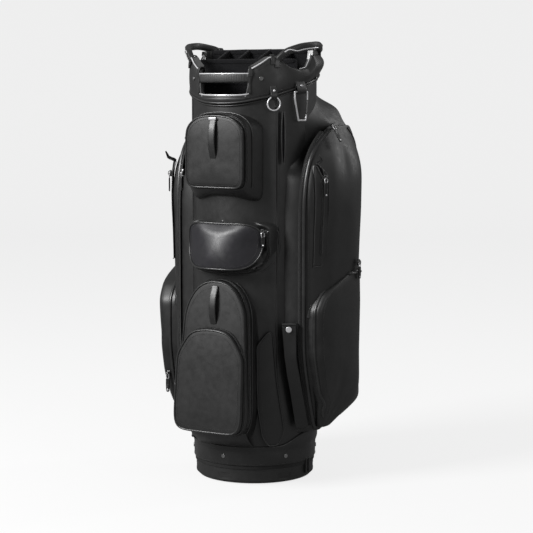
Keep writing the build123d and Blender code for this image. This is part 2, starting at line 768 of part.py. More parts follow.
def strap_pad():
    middle = block((-100, 100, 400), (200, 260, 600))
    return main_solid((strap_band(58, 12) & middle) - strap_band(36.8, 3.4))


def strap_rings():
    """D-rings that the strap clips to, with their leather keepers."""
    return group([Pos(STRAP_X, STRAP_Y, z) * Rot(90, 0, 0) * Torus(10, 1.8) for z in (726, 260)])


# ---- export -------------------------------------------------------------------------------------
def both(name, part):
    return {name + "_right": part, name + "_left": mirror_x(part)}


def build():
    parts = {
        "base_cup": base_cup(), "base_feet": base_feet(), "screws": screws(),
        "base_skirt": base_skirt(), "bottom_pad": bottom_pad(), "body_board": body_board(),
        "body_cover": body_cover(), "stay_rods": stay_rods(), "spine_pad": spine_pad(),
        "rear_handle": rear_handle(), "top_frame": top_frame(),
        "front_handle": front_handle(), "collar": collar(), "divider_grid": divider_grid(),
        "divider_sleeves": divider_sleeves(),
        "side_handles": group([side_handle(1), side_handle(-1)]),
        "valuables_pocket": valuables_pocket(), "valuables_lid": valuables_lid(),
        "valuables_loop": pull_loop(VAL_FACE, 656, 737),
        "rangefinder_pocket": rangefinder_pocket(), "rangefinder_flap": rangefinder_flap(),
        "ball_pocket": ball_pocket(), "ball_lid": ball_lid(), "front_panel": front_panel(),
        "ball_loop": pull_loop(-152.5, 330, 404, 8), "zip_chains": zip_chains(),
        "umbrella_sleeve": umbrella_sleeve(), "sleeve_snap": sleeve_snap(),
        "strap_guards": strap_guards(),
        "hanging_tabs": hanging_tabs(), "accessory_ring": accessory_ring(),
        "towel_clip": towel_clip(), "clip_gate": clip_gate(),
        "shoulder_strap": shoulder_strap(), "strap_pad": strap_pad(), "strap_rings": strap_rings(),
        "valuables_slider": put("valuables", slider()), "valuables_pull": put("valuables", pull_tab()),
        "ball_slider": put("ball", slider()), "ball_pull": put("ball", pull_tab()),
        "rangefinder_slider": put("range", slider()), "rangefinder_pull": put("range", pull_tab(22)),
    }
    parts.update(both("garment_pocket", garment_pocket()))
    parts.update(both("garment_lid", garment_lid()))
    parts["side_pocket_right"] = side_pocket()
    parts["side_pocket_left"] = mirror_x(side_pocket(LEFT_FULLNESS))
    parts.update(both("slit_pocket", slit_pocket()))
    parts.update(both("slit_slider", put("slit", slider())))
    parts.update(both("slit_pull", put("slit", pull_tab())))
    parts.update(both("garment_pull", put("garment", pull_tab())))
    parts["fixed_sliders_right"] = group([put("garment", slider()), put("side_rear", slider())])
    parts["fixed_sliders_left"] = group([put("garment", slider(), True), put("side_front", slider(), True)])
    parts["side_pull_right"] = put("side_rear", pull_tab(26))
    parts["side_pull_left"] = put("side_front", pull_tab(), left=True)
    return parts


os.makedirs("parts", exist_ok=True)
for name, part in build().items():
    export_step(part, os.path.join("parts", name + ".step"))
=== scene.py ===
"""Looks of a golf staff bag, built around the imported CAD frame.

Shapes are worked out in millimetres in the frame's own axes (+Z up, the pocket front facing -Y) by
casting rays at the CAD nodes, and become metres when a mesh is made.
"""
import json
import math

import bmesh
import bpy
import numpy as np
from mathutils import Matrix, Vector
from mathutils.bvhtree import BVHTree


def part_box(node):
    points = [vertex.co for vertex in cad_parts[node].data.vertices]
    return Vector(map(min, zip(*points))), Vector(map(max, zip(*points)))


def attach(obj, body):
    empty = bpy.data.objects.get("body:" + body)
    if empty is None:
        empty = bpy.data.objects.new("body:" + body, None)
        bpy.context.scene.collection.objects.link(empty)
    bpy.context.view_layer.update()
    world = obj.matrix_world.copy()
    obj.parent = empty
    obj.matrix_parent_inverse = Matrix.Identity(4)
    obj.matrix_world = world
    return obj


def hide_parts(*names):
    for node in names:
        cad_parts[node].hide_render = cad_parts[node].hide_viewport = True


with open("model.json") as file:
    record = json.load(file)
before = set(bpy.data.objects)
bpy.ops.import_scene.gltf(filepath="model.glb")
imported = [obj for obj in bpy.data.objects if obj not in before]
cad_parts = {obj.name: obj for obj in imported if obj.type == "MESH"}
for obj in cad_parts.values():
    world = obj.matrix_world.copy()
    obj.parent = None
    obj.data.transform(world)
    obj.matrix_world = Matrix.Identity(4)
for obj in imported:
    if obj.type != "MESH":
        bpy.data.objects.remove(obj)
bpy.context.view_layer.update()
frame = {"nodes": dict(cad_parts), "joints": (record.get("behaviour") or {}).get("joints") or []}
NODES = frame["nodes"]
JOINTS = {joint["name"]: joint for joint in frame["joints"]}
MM = 0.001
UP = np.array((0.0, 0.0, 1.0))
SIDES = {"right": 1, "left": -1}


# ---- reading the frame --------------------------------------------------------------------------
def box(node):
    low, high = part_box(node)
    return np.array(low) / MM, np.array(high) / MM


def joint(name):
    """A joint's place in millimetres and its axis."""
    row = JOINTS[name]
    return np.array(row["pos_m"]) / MM, np.array(row["axis"], float)


def unit(vector):
    vector = np.asarray(vector, float)
    return vector / np.maximum(np.linalg.norm(vector, axis=-1, keepdims=True), 1e-9)


TREES = {}


def tree(nodes):
    if nodes not in TREES:
        points, polygons = [], []
        for node in nodes:
            mesh = NODES[node].data
            start = len(points)
            points += [v.co / MM for v in mesh.vertices]
            polygons += [[start + i for i in p.vertices] for p in mesh.polygons]
        TREES[nodes] = BVHTree.FromPolygons(points, polygons)
    return TREES[nodes]


def hit(nodes, start, direction, reach=600.0):
    """First place where a ray meets the CAD nodes, or None."""
    nodes = (nodes,) if isinstance(nodes, str) else nodes
    place = tree(nodes).ray_cast(Vector(start), Vector(unit(direction)), reach)[0]
    return None if place is None else np.array(place)


def outermost(nodes, centre, direction, reach=260.0):
    """The CAD surface met on the way in from outside towards a centre."""
    direction = unit(direction)
    return hit(nodes, np.asarray(centre) + direction * reach, -direction, reach)


def around(angle, radius, z=0.0):
    """A point on a cylinder; the angle is in degrees from the front towards +X."""
    a = math.radians(angle)
    return np.array((radius * math.sin(a), -radius * math.cos(a), z))


def outward(angle):
    return around(angle, 1.0)


def top_of(nodes, angle, radius):
    place = hit(nodes, around(angle, radius, 960.0), -UP)
    return None if place is None else place[2]


def bottom_of(nodes, angle, radius, start=20.0):
    place = hit(nodes, around(angle, radius, start), UP, 900.0)
    return None if place is None else place[2]


def islands(node):
    """Low and high corners of each separate solid in a CAD node, in millimetres."""
    mesh = bmesh.new()
    mesh.from_mesh(NODES[node].data)
    bmesh.ops.remove_doubles(mesh, verts=mesh.verts, dist=1e-6)
    left = set(mesh.verts)
    boxes = []
    while left:
        stack = [left.pop()]
        points = []
        while stack:
            vertex = stack.pop()
            points.append(vertex.co / MM)
            for edge in vertex.link_edges:
                other = edge.other_vert(vertex)
                if other in left:
                    left.remove(other)
                    stack.append(other)
        points = np.array(points)
        boxes.append((points.min(0), points.max(0)))
    mesh.free()
    return sorted(boxes, key=lambda pair: tuple(pair[0].round(2)))


# ---- curves -------------------------------------------------------------------------------------
def smoothstep(value, low, high):
    t = np.clip((value - low) / (high - low), 0, 1)
    return t * t * (3 - 2 * t)


def soften(points, times=2, closed=False):
    """Binomial smoothing along the first axis; an open run keeps its ends."""
    points = np.array(points, float)
    for _ in range(times):
        before = np.roll(points, 1, 0)
        after = np.roll(points, -1, 0)
        smooth = points * 0.5 + before * 0.25 + after * 0.25
        if not closed:
            smooth[0], smooth[-1] = points[0], points[-1]
        points = smooth
    return points


def curve(points, step=4.0, closed=False, rounds=3):
    """A smooth, evenly spaced run through a few points."""
    points = np.array(points, float)
    for _ in range(rounds):
        ahead = np.roll(points, -1, 0)
        if not closed:
            points, ahead = points[:-1], ahead[:-1]
            first, last = points[0].copy(), ahead[-1].copy()
        cut = np.stack([points * 0.75 + ahead * 0.25, points * 0.25 + ahead * 0.75], 1).reshape(-1, 3)
        if not closed:
            cut = np.concatenate([[first], cut, [last]])
        points = cut
    return resample(points, step, closed)


def resample(points, step=4.0, closed=False):
    points = np.array(points, float)
    if closed:
        points = np.concatenate([points, points[:1]])
    lengths = np.linalg.norm(np.diff(points, axis=0), axis=1)
    along = np.concatenate([[0], np.cumsum(lengths)])
    count = max(int(round(along[-1] / step)), 3)
    places = np.linspace(0, along[-1], count + 1)
    even = np.stack([np.interp(places, along, points[:, i]) for i in range(3)], 1)
    return even[:-1] if closed else even


def tangents(path, closed=False):
    if closed:
        return unit(np.roll(path, -1, 0) - np.roll(path, 1, 0))
    return unit(np.gradient(path, axis=0))


def carried(path, closed=False):
    """Normals carried along a path without twist."""
    along = tangents(path, closed)
    first = np.cross(along[0], UP if abs(along[0][2]) < 0.9 else (1.0, 0, 0))
    normals = [unit(first)]
    for t in along[1:]:
        n = normals[-1] - t * np.dot(normals[-1], t)
        normals.append(unit(n))
    return np.array(normals)


def radial(path):
    """Outward normals of a path on the tube."""
    flat = np.array(path, float)
    flat[:, 2] = 0
    return unit(flat)


# ---- mesh parts: each is (points, faces) in millimetres -----------------------------------------
def sweep(path, section, normal=None, closed=False, scale=None):
    """Carry a closed section, given as (sideways, outward) pairs, along a path."""
    path = np.array(path, float)
    along = tangents(path, closed)
    normal = carried(path, closed) if normal is None else np.broadcast_to(normal, path.shape)
    side = unit(np.cross(along, normal))
    out = np.cross(side, along)
    section = np.array(section, float)
    scale = np.ones(len(path)) if scale is None else np.asarray(scale, float)
    rings = path[:, None] + scale[:, None, None] * (
        side[:, None] * section[None, :, :1] + out[:, None] * section[None, :, 1:])
    count = len(section)
    faces = []
    last = len(path) if closed else len(path) - 1
    for i in range(last):
        a, b = i * count, (i + 1) % len(path) * count
        faces += [(a + j, a + (j + 1) % count, b + (j + 1) % count, b + j) for j in range(count)]
    if not closed:
        faces.append(tuple(range(count))[::-1])
        faces.append(tuple((len(path) - 1) * count + j for j in range(count)))
    return rings.reshape(-1, 3), faces


def circle(radius, count=10):
    turn = np.linspace(0, 2 * math.pi, count, endpoint=False)
    return np.stack([np.cos(turn), np.sin(turn)], 1) * radius


def rounded(width, height, power=4.0, count=20):
    """A soft-cornered oblong section."""
    turn = np.linspace(0, 2 * math.pi, count, endpoint=False)
    c, s = np.cos(turn), np.sin(turn)
    x = np.sign(c) * np.abs(c) ** (2 / power) * width / 2
    y = np.sign(s) * np.abs(s) ** (2 / power) * height / 2
    return np.stack([x, y], 1)


def cord(path, radius, closed=False, count=10):
    return sweep(path, circle(radius, count), closed=closed)


def grid_normals(grid, closed, inside):
    rows = np.gradient(grid, axis=0)
    if closed:
        columns = np.roll(grid, -1, 1) - np.roll(grid, 1, 1)
    else:
        columns = np.gradient(grid, axis=1)
    normals = unit(np.cross(columns, rows))
    if np.sum(normals * (grid - np.asarray(inside))) < 0:
        normals = -normals
    return normals


TIP_SHARE = 0.15                # a last ring this small is the middle of a cap and is filled


def sheet(grid, thick, closed=False, inside=(0, 0, 450), keep=None):
    """A grid of points turned into a closed skin of some thickness; keep masks its faces."""
    grid = np.array(grid, float)
    rows, columns = grid.shape[:2]
    inner = grid - grid_normals(grid, closed, inside) * thick
    points = np.concatenate([grid.reshape(-1, 3), inner.reshape(-1, 3)])
    shift = rows * columns
    faces, edges = [], {}
    for i in range(rows - 1):
        for j in range(columns if closed else columns - 1):
            if keep is not None and not keep[i][j]:
                continue
            k = (j + 1) % columns
            face = (i * columns + j, i * columns + k, (i + 1) * columns + k, (i + 1) * columns + j)
            faces += [face, tuple(p + shift for p in face[::-1])]
            for a, b in zip(face, face[1:] + face[:1]):
                edges[(a, b)] = edges.get((a, b), 0) + 1
    if closed and np.ptp(grid[-1], axis=0).max() < TIP_SHARE * np.ptp(grid[0], axis=0).max():
        tip = tuple(shift - columns + j for j in range(columns))
        faces += [tip, tuple(p + shift for p in tip[::-1])]
        for a, b in zip(tip, tip[1:] + tip[:1]):
            edges[(a, b)] = 1
    for a, b in edges:
        if (b, a) not in edges:
            faces.append((b, a, a + shift, b + shift))
    return points, faces


def stitches(path, normal, pitch=4.2, length=2.9, radius=0.32):
    """Thread lying in short runs along a seam."""
    path = resample(path, pitch)
    middle = (path[1:] + path[:-1]) / 2
    along = unit(path[1:] - path[:-1])
    normal = np.asarray(normal, float)
    if normal.ndim > 1:
        where = np.linspace(0, len(normal) - 1, len(middle)).round().astype(int)
        normal = normal[where]
    normal = np.broadcast_to(normal, middle.shape)
    side = unit(np.cross(along, normal))
    points, faces = [], []
    stations = ((-0.5, 0.35, -0.5), (-0.25, 1.0, 0.5), (0.25, 1.0, 0.5), (0.5, 0.35, -0.5))
    turn = np.linspace(0, 2 * math.pi, 6, endpoint=False)
    for m, t, n, s in zip(middle, along, normal, side):
        start = len(points)
        for place, size, lift in stations:
            centre = m + t * place * length + n * lift * radius
            points += [centre + (s * math.cos(a) + n * math.sin(a)) * radius * size for a in turn]
        for i in range(3):
            a = start + i * 6
            faces += [(a + j, a + (j + 1) % 6, a + 6 + (j + 1) % 6, a + 6 + j) for j in range(6)]
        faces += [tuple(start + j for j in range(6))[::-1], tuple(start + 18 + j for j in range(6))]
    return np.array(points), faces


def teeth(path, normal, pitch=2.2, width=2.9):
    """Interlocked teeth, leaning left and right by turns."""
    path = resample(path, pitch)
    along = tangents(path)
    normal = np.asarray(normal, float)
    if normal.ndim > 1:
        normal = normal[np.linspace(0, len(normal) - 1, len(path)).round().astype(int)]
    normal = np.broadcast_to(normal, path.shape)
    side = unit(np.cross(along, normal))
    points, faces = [], []
    for i, (p, t, n, s) in enumerate(zip(path, along, normal, side)):
        lean = 1 if i % 2 else -1
        start = len(points)
        for height, size in ((-0.5, 1.0), (0.7, 1.0), (1.1, 0.6)):
            for a, b in ((-1, -1), (1, -1), (1, 1), (-1, 1)):
                reach = s * (a * width * 0.5 * size + lean * 0.8) + t * b * 0.62 * size
                points.append(p + reach + n * height)
        for k in (start, start + 4):
            faces += [(k + j, k + (j + 1) % 4, k + 4 + (j + 1) % 4, k + 4 + j) for j in range(4)]
        faces += [(start + 3, start + 2, start + 1, start), tuple(start + 8 + j for j in range(4))]
    return np.array(points), faces


def slab(origin, x_dir, y_dir, out, shape, profile):
    """A small moulded plate: a flat outline lofted through (height, scale) pairs along `out`."""
    shape = np.array(shape, float)
    points, faces = [], []
    count = len(shape)
    middle = shape.mean(0)
    for height, scale in profile:
        for x, y in middle + (shape - middle) * scale:
            points.append(origin + x_dir * x + y_dir * y + out * height)
    for i in range(len(profile) - 1):
        a = i * count
        faces += [(a + j, a + (j + 1) % count, a + count + (j + 1) % count, a + count + j)
                  for j in range(count)]
    faces += [tuple(range(count))[::-1], tuple((len(profile) - 1) * count + j for j in range(count))]
    return np.array(points), faces


# ---- pieces -------------------------------------------------------------------------------------
LOOKS = {}


def piece(name, parts, look, body="bag", stands_for=(), smooth=1, angle=50):
    """One named object out of mesh parts, riding on a body and standing for CAD nodes."""
    if isinstance(parts, tuple):
        parts = [parts]
    points, faces, start = [], [], 0
    for part_points, part_faces in parts:
        points.append(np.asarray(part_points) * MM)
        faces += [tuple(int(i) + start for i in face) for face in part_faces]
        start += len(part_points)
    mesh = bpy.data.meshes.new(name)
    mesh.from_pydata(np.concatenate(points).tolist(), [], faces)
    tidy = bmesh.new()
    tidy.from_mesh(mesh)
    bmesh.ops.recalc_face_normals(tidy, faces=tidy.faces)
    tidy.to_mesh(mesh)
    tidy.free()
    mesh.shade_smooth()
    mesh.materials.append(LOOKS[look])
    item = bpy.data.objects.new(name, mesh)
    bpy.context.scene.collection.objects.link(item)
    if smooth:
        modifier = item.modifiers.new("Smooth", "SUBSURF")
        modifier.levels = smooth
        modifier.render_levels = smooth
    else:
        mesh.set_sharp_from_angle(angle=math.radians(angle))
    if body is not None:
        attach(item, body)
    if stands_for:
        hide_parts(*((stands_for,) if isinstance(stands_for, str) else stands_for))
    return item


def zip_run(name, path, normal, body="bag", stands_for=(), tape=12.0):
    """A zip: woven tape and teeth."""
    path = resample(path, 3.0)
    normal = np.broadcast_to(normal, path.shape) if np.ndim(normal) < 2 else spread(normal, len(path))
    band = rounded(tape, 1.0, 6, 8)
    piece(name + "_tape", sweep(path, band, normal), "tape", body, stands_for, 0)
    piece(name + "_teeth", teeth(path + normal * 0.6, normal), "zip", body, (), 0)


def spread(rows, count):
    """Resample a run of vectors to another length."""
    rows = np.asarray(rows, float)
    old = np.linspace(0, 1, len(rows))
    new = np.linspace(0, 1, count)
    return unit(np.stack([np.interp(new, old, rows[:, i]) for i in range(3)], 1))


def mirrored(grid, side):
    """Right-hand geometry, or its mirror image for the left-hand side."""
    grid = np.array(grid, float)
    grid[..., 0] *= side
    return grid


SETTLE = 5                      # rounds that even out what the cloth has moved


def puffed(grid, closed=False, pressure=3.0, cap=5.0, inside=(0, 0, 450)):
    """A padded skin: cloth held at its border, blown up from inside, moved by no more than a cap."""
    grid = np.array(grid, float)
    rows, columns = grid.shape[:2]
    mesh = bpy.data.meshes.new("cloth")
    faces = [(i * columns + j, i * columns + (j + 1) % columns, (i + 1) * columns + (j + 1) % columns,
              (i + 1) * columns + j)
             for i in range(rows - 1) for j in range(columns if closed else columns - 1)]
    if np.sum(grid_normals(grid, closed, inside) * raw_normals(grid, closed)) < 0:
        faces = [face[::-1] for face in faces]
    mesh.from_pydata((grid.reshape(-1, 3) * MM).tolist(), [], faces)
    item = bpy.data.objects.new("cloth", mesh)
    bpy.context.scene.collection.objects.link(item)
    held = item.vertex_groups.new(name="held")
    border = set(range(columns)) | set(range((rows - 1) * columns, rows * columns))
    if not closed:
        border |= {i * columns for i in range(rows)} | {(i + 1) * columns - 1 for i in range(rows)}
    held.add(sorted(border), 1.0, "REPLACE")
    cloth = item.modifiers.new("Cloth", "CLOTH")
    settings = cloth.settings
    settings.vertex_group_mass = "held"
    settings.use_pressure = True
    settings.uniform_pressure_force = pressure
    settings.effector_weights.gravity = 0
    settings.quality = 5
    scene = bpy.context.scene
    for number in range(1, 19):
        scene.frame_set(number)
    shape = item.evaluated_get(bpy.context.evaluated_depsgraph_get())
    moved = np.array([v.co for v in shape.data.vertices]) / MM
    scene.frame_set(1)
    bpy.data.objects.remove(item)
    shift = moved.reshape(grid.shape) - grid
    for _ in range(SETTLE):
        shift[1:-1] = (shift[:-2] + 2 * shift[1:-1] + shift[2:]) / 4
        if closed:
            shift = (np.roll(shift, 1, 1) + 2 * shift + np.roll(shift, -1, 1)) / 4
        else:
            shift[:, 1:-1] = (shift[:, :-2] + 2 * shift[:, 1:-1] + shift[:, 2:]) / 4
    size = np.linalg.norm(shift, axis=2, keepdims=True)
    return grid + shift * np.minimum(1, cap / np.maximum(size, 1e-6))


def raw_normals(grid, closed):
    """Normals as the face order of puffed() gives them."""
    columns = np.roll(grid, -1, 1) - np.roll(grid, 1, 1) if closed else np.gradient(grid, axis=1)
    return unit(np.cross(columns, np.gradient(grid, axis=0)))


class Paint:
    """A node material built up from a colour, mottling, edge wear and layers of relief."""

    def __init__(self, name, colour, rough, metallic=0.0):
        self.material = bpy.data.materials.new(name)
        self.material.use_nodes = True
        self.tree = self.material.node_tree
        self.shader = self.tree.nodes["Principled BSDF"]
        self.shader.inputs["Metallic"].default_value = metallic
        self.place = self.node("ShaderNodeTexCoord").outputs["Object"]
        self.colour = self.mix(colour)
        self.roughness(rough)
        self.relief = None

    def node(self, kind, **values):
        node = self.tree.nodes.new(kind)
        for name, value in values.items():
            setattr(node, name, value)
        return node

    def link(self, out, socket):
        self.tree.links.new(out, socket)

    def noise(self, scale, detail=3.0):
        noise = self.node("ShaderNodeTexNoise")
        noise.inputs["Scale"].default_value = scale
        noise.inputs["Detail"].default_value = detail
        self.link(self.place, noise.inputs["Vector"])
        return noise.outputs["Fac"]

    def remap(self, value, low, high):
        node = self.node("ShaderNodeMapRange")
        node.inputs["From Min"].default_value = 0.3
        node.inputs["From Max"].default_value = 0.7
        node.inputs["To Min"].default_value = low
        node.inputs["To Max"].default_value = high
        self.link(value, node.inputs["Value"])
        return node.outputs["Result"]

    def mix(self, colour, spread=0.22, scale=38.0):
        """Base colour, drifting a little lighter and darker across the surface."""
        mix = self.node("ShaderNodeMix", data_type="RGBA")
        mix.inputs["A"].default_value = [c * (1 - spread) for c in colour] + [1]
        mix.inputs["B"].default_value = [c * (1 + spread) for c in colour] + [1]
        self.link(self.remap(self.noise(scale), 0, 1), mix.inputs["Factor"])
        self.link(mix.outputs["Result"], self.shader.inputs["Base Color"])
        return mix.outputs["Result"]

    def roughness(self, rough, spread=0.06, scale=90.0):
        value = self.remap(self.noise(scale), rough - spread, rough + spread)
        self.link(value, self.shader.inputs["Roughness"])
        return self

    def wear(self, colour, amount=0.5, start=0.52, end=0.62):
        """Convex edges rubbed towards another colour."""
        ramp = self.node("ShaderNodeMapRange")
        ramp.inputs["From Min"].default_value = start
        ramp.inputs["From Max"].default_value = end
        ramp.inputs["To Max"].default_value = amount
        self.link(self.node("ShaderNodeNewGeometry").outputs["Pointiness"], ramp.inputs["Value"])
        mix = self.node("ShaderNodeMix", data_type="RGBA")
        mix.inputs["B"].default_value = list(colour) + [1]
        self.link(self.colour, mix.inputs["A"])
        self.link(ramp.outputs["Result"], mix.inputs["Factor"])
        self.link(mix.outputs["Result"], self.shader.inputs["Base Color"])
        self.colour = mix.outputs["Result"]
        return self

    def add_relief(self, height, depth, strength):
        bump = self.node("ShaderNodeBump")
        bump.inputs["Distance"].default_value = depth * MM
        bump.inputs["Strength"].default_value = strength
        self.link(height, bump.inputs["Height"])
        if self.relief is not None:
            self.link(self.relief, bump.inputs["Normal"])
        self.relief = bump.outputs["Normal"]
        self.link(self.relief, self.shader.inputs["Normal"])
        return self

    def soft_relief(self, scale, depth, strength=0.5):
        return self.add_relief(self.noise(scale), depth, strength)

    def pebbles(self, scale, depth, strength=0.5):
        cells = self.node("ShaderNodeTexVoronoi", feature="SMOOTH_F1")
        cells.inputs["Scale"].default_value = scale
        self.link(self.place, cells.inputs["Vector"])
        return self.add_relief(cells.outputs["Distance"], depth, strength)

    def weave(self, scale, depth, strength=0.6):
        for turn in ((0.0, 0.6, 0.785), (0.6, 0.0, -0.785)):
            mapping = self.node("ShaderNodeMapping")
            mapping.inputs["Rotation"].default_value = turn
            self.link(self.place, mapping.inputs["Vector"])
            wave = self.node("ShaderNodeTexWave")
            wave.inputs["Scale"].default_value = scale
            wave.inputs["Distortion"].default_value = 0.6
            self.link(mapping.outputs["Vector"], wave.inputs["Vector"])
            self.add_relief(wave.outputs["Fac"], depth, strength)
        return self

    def finish(self, **inputs):
        for name, value in inputs.items():
            self.shader.inputs[name.replace("_", " ")].default_value = value
        return self.material


def grey(value, warm=0.0, cool=0.0):
    return (value * (1 + warm), value, value * (1 + cool))


def synthetic_leather(name, colour, rough):
    """Smooth coated leather: fine pebble grain, slow undulation, edges rubbed lighter."""
    paint = Paint(name, colour, rough).soft_relief(24, 1.6, 0.20).soft_relief(140, 0.25, 0.25)
    paint.pebbles(1100, 0.10, 0.35).wear(grey(0.05), 0.35)
    return paint.finish(Specular_IOR_Level=0.5, Coat_Weight=0.12, Coat_Roughness=0.35)


def make_looks():
    LOOKS["leather"] = synthetic_leather("leather", grey(0.013), 0.42)
    LOOKS["side"] = synthetic_leather("side_leather", grey(0.009), 0.45)
    LOOKS["flap"] = synthetic_leather("flap_leather", grey(0.010, 0.05, 0.30), 0.42)
    LOOKS["piping"] = synthetic_leather("piping", grey(0.016), 0.34)
    LOOKS["thread"] = Paint("thread", grey(0.022), 0.6).weave(2600, 0.1).finish(Sheen_Weight=0.3)
    LOOKS["tape"] = Paint("zip_tape", grey(0.006), 0.75).weave(1500, 0.15).finish(Sheen_Weight=0.25)
    LOOKS["zip"] = Paint("zip_teeth", grey(0.012), 0.34).soft_relief(1500, 0.05).finish(Coat_Weight=0.3)
    metal = Paint("bright_metal", grey(0.70, 0, 0.02), 0.32, 0.55).soft_relief(420, 0.04, 0.3)
    LOOKS["metal"] = metal.wear(grey(0.95), 0.6).finish()
    LOOKS["gunmetal"] = Paint("gunmetal", grey(0.16), 0.3, 1.0).soft_relief(500, 0.04, 0.3).finish()
    LOOKS["steel"] = Paint("screw_steel", grey(0.3), 0.28, 1.0).soft_relief(700, 0.05, 0.3).finish()
    plastic = Paint("frame_plastic", grey(0.010), 0.36).pebbles(1500, 0.06, 0.3).wear(grey(0.08), 0.5)
    LOOKS["plastic"] = plastic.finish(Coat_Weight=0.25, Coat_Roughness=0.3)
    base = Paint("base_plastic", grey(0.014), 0.5).pebbles(900, 0.14, 0.5).wear(grey(0.08), 0.5)
    LOOKS["base"] = base.finish()
    LOOKS["rubber"] = Paint("foot_rubber", grey(0.008), 0.8).soft_relief(600, 0.15).finish()
    rubber = Paint("pull_rubber", grey(0.010), 0.42)
    LOOKS["pull"] = rubber.soft_relief(900, 0.08).wear(grey(0.1), 0.5).finish()
    LOOKS["grip"] = Paint("grip", grey(0.030), 0.46).pebbles(700, 0.25, 0.6).wear(grey(0.13), 0.6).finish()
    # Near-black lining fabric for dividers and pocket insides. The slit-mouth and umbrella-slot sheets also
    # use it as painted shadow, with low sheen and specular to keep them black.
    lining = Paint("lining_fabric", grey(0.004, 0, 0.25), 0.85).weave(1100, 0.2)
    LOOKS["lining"] = lining.finish(Sheen_Weight=0.08, Specular_IOR_Level=0.15)
    LOOKS["padding"] = Paint("air_mesh", grey(0.010), 0.8).pebbles(420, 0.5, 0.8).finish(Sheen_Weight=0.4)
    LOOKS["board"] = Paint("board_plastic", grey(0.006), 0.6).soft_relief(300, 0.2).finish()
    LOOKS["stay"] = Paint("stay_rod", grey(0.25), 0.4, 0.8).soft_relief(400, 0.05).finish()
    LOOKS["felt"] = Paint("foam_felt", grey(0.03), 0.9).soft_relief(900, 0.5, 0.9).finish(Sheen_Weight=0.6)


def repaint(node, look):
    """A CAD node whose shape is right keeps it and gets a full material."""
    mesh = NODES[node].data
    mesh.materials.clear()
    mesh.materials.append(LOOKS[look])


# ---- tube, base and collar ----------------------------------------------------------------------
COVER_R = box("body_cover")[1][0]
TUCK_R = COVER_R - 3.5          # pocket edges end under the cover
SEAM_ANGLE = 51.0               # front panel seams


def polar_grid(angles, radius, low, high, rows):
    """Points on the tube; radius, low and high are functions of the angle (and of the height)."""
    grid = np.zeros((rows, len(angles), 3))
    for j, angle in enumerate(angles):
        for i, t in enumerate(np.linspace(0, 1, rows)):
            z = low(angle) + (high(angle) - low(angle)) * t
            grid[i, j] = around(angle, radius(angle, t, z), z)
    return grid


def signed(angle):
    return (angle + 180) % 360 - 180


def seam_height(angle):
    """Height of the seam between the cover and the collar."""
    return top_of("body_cover", angle, COVER_R - 1.5)


def rim_height(angle):
    lip = top_of("top_frame", angle, COVER_R - 1.8)
    return top_of("top_frame", angle, COVER_R - 6) if lip is None else lip


def body_cover():
    low = box("body_cover")[0][2]
    angles = np.arange(144) * 2.5

    def radius(angle, t, z):
        near_seam = math.exp(-((abs(signed(angle)) - 40) / 12) ** 2)
        fold = 0.9 * math.sin(math.radians(angle) * 17 + 1.2 * math.sin(z / 95)) * near_seam
        return COVER_R - 1.0 + fold * math.sin(math.pi * t) ** 0.5
    grid = polar_grid(angles, radius, lambda a: low, seam_height, 52)
    piece("body_cover_skin", sheet(grid, 2.4, closed=True), "leather", stands_for="body_cover")
    for side in (1, -1):
        heights = np.linspace(low + 4, seam_height(SEAM_ANGLE) - 3, 120)
        run = np.array([around(SEAM_ANGLE * side, COVER_R - 0.4, z) for z in heights])
        piece(f"front_seam_{side_name(side)}", cord(run, 1.5), "piping", smooth=0)
        threads = []
        for shift in (-2.2, 2.2):
            line = np.array([around((SEAM_ANGLE + shift) * side, COVER_R - 0.9, z) for z in heights])
            threads.append(stitches(line, outward(SEAM_ANGLE * side)))
        piece(f"front_seam_thread_{side_name(side)}", threads, "thread", smooth=0)


def side_name(side):
    return "right" if side > 0 else "left"


def collar():
    """Padded leather collar, turned in along its top edge, fuller towards the back."""
    angles = np.arange(320) * 1.125
    tops = soften(np.array([[top_of("collar", a, COVER_R + 1.5), 0, 0] for a in angles]), 1, True)[:, 0]
    lows = np.array([bottom_of("collar", a, COVER_R + 1.5, 700) for a in angles])
    rows = 16
    grid = np.zeros((rows + 3, len(angles), 3))
    for j, angle in enumerate(angles):
        back = smoothstep(abs(signed(angle)), 62, 112) * (1 - 0.75 * smoothstep(abs(signed(angle)), 130, 165))
        for i, t in enumerate(np.linspace(0, 1, rows)):
            bulge = 2.2 * math.sin(math.pi * t) ** 0.7 + 8.5 * back * math.sin(math.pi * min(t, 0.97) ** 1.2)
            grid[i, j] = around(angle, COVER_R + 3.2 + bulge, lows[j] + (tops[j] - lows[j]) * t)
        for i, (rise, inwards) in enumerate(((1.2, 1.2), (1.8, 3.0), (1.4, 5.6))):
            grid[rows + i, j] = around(angle, COVER_R + 3.2 - inwards, tops[j] + rise)
    grid[:rows] = puffed(grid[:rows], closed=True, pressure=1.5, cap=2.5)
    piece("collar_leather", sheet(grid, 2.6, closed=True, inside=(0, 0, 800)), "leather", stands_for="collar")
    run = np.array([around(a, COVER_R + 3.4, seam_height(a) - 1.2) for a in angles])
    second = np.array([around(a, COVER_R + 1.0, seam_height(a) - 6.4) for a in angles])
    piece("collar_piping", [cord(run, 2.3, True), cord(second, 1.5, True)], "piping", smooth=0)
    above = np.array([around(a, COVER_R + 4.6, seam_height(a) + 5.5) for a in angles])
    piece("collar_thread", stitches(above, radial(above)), "thread", smooth=0)


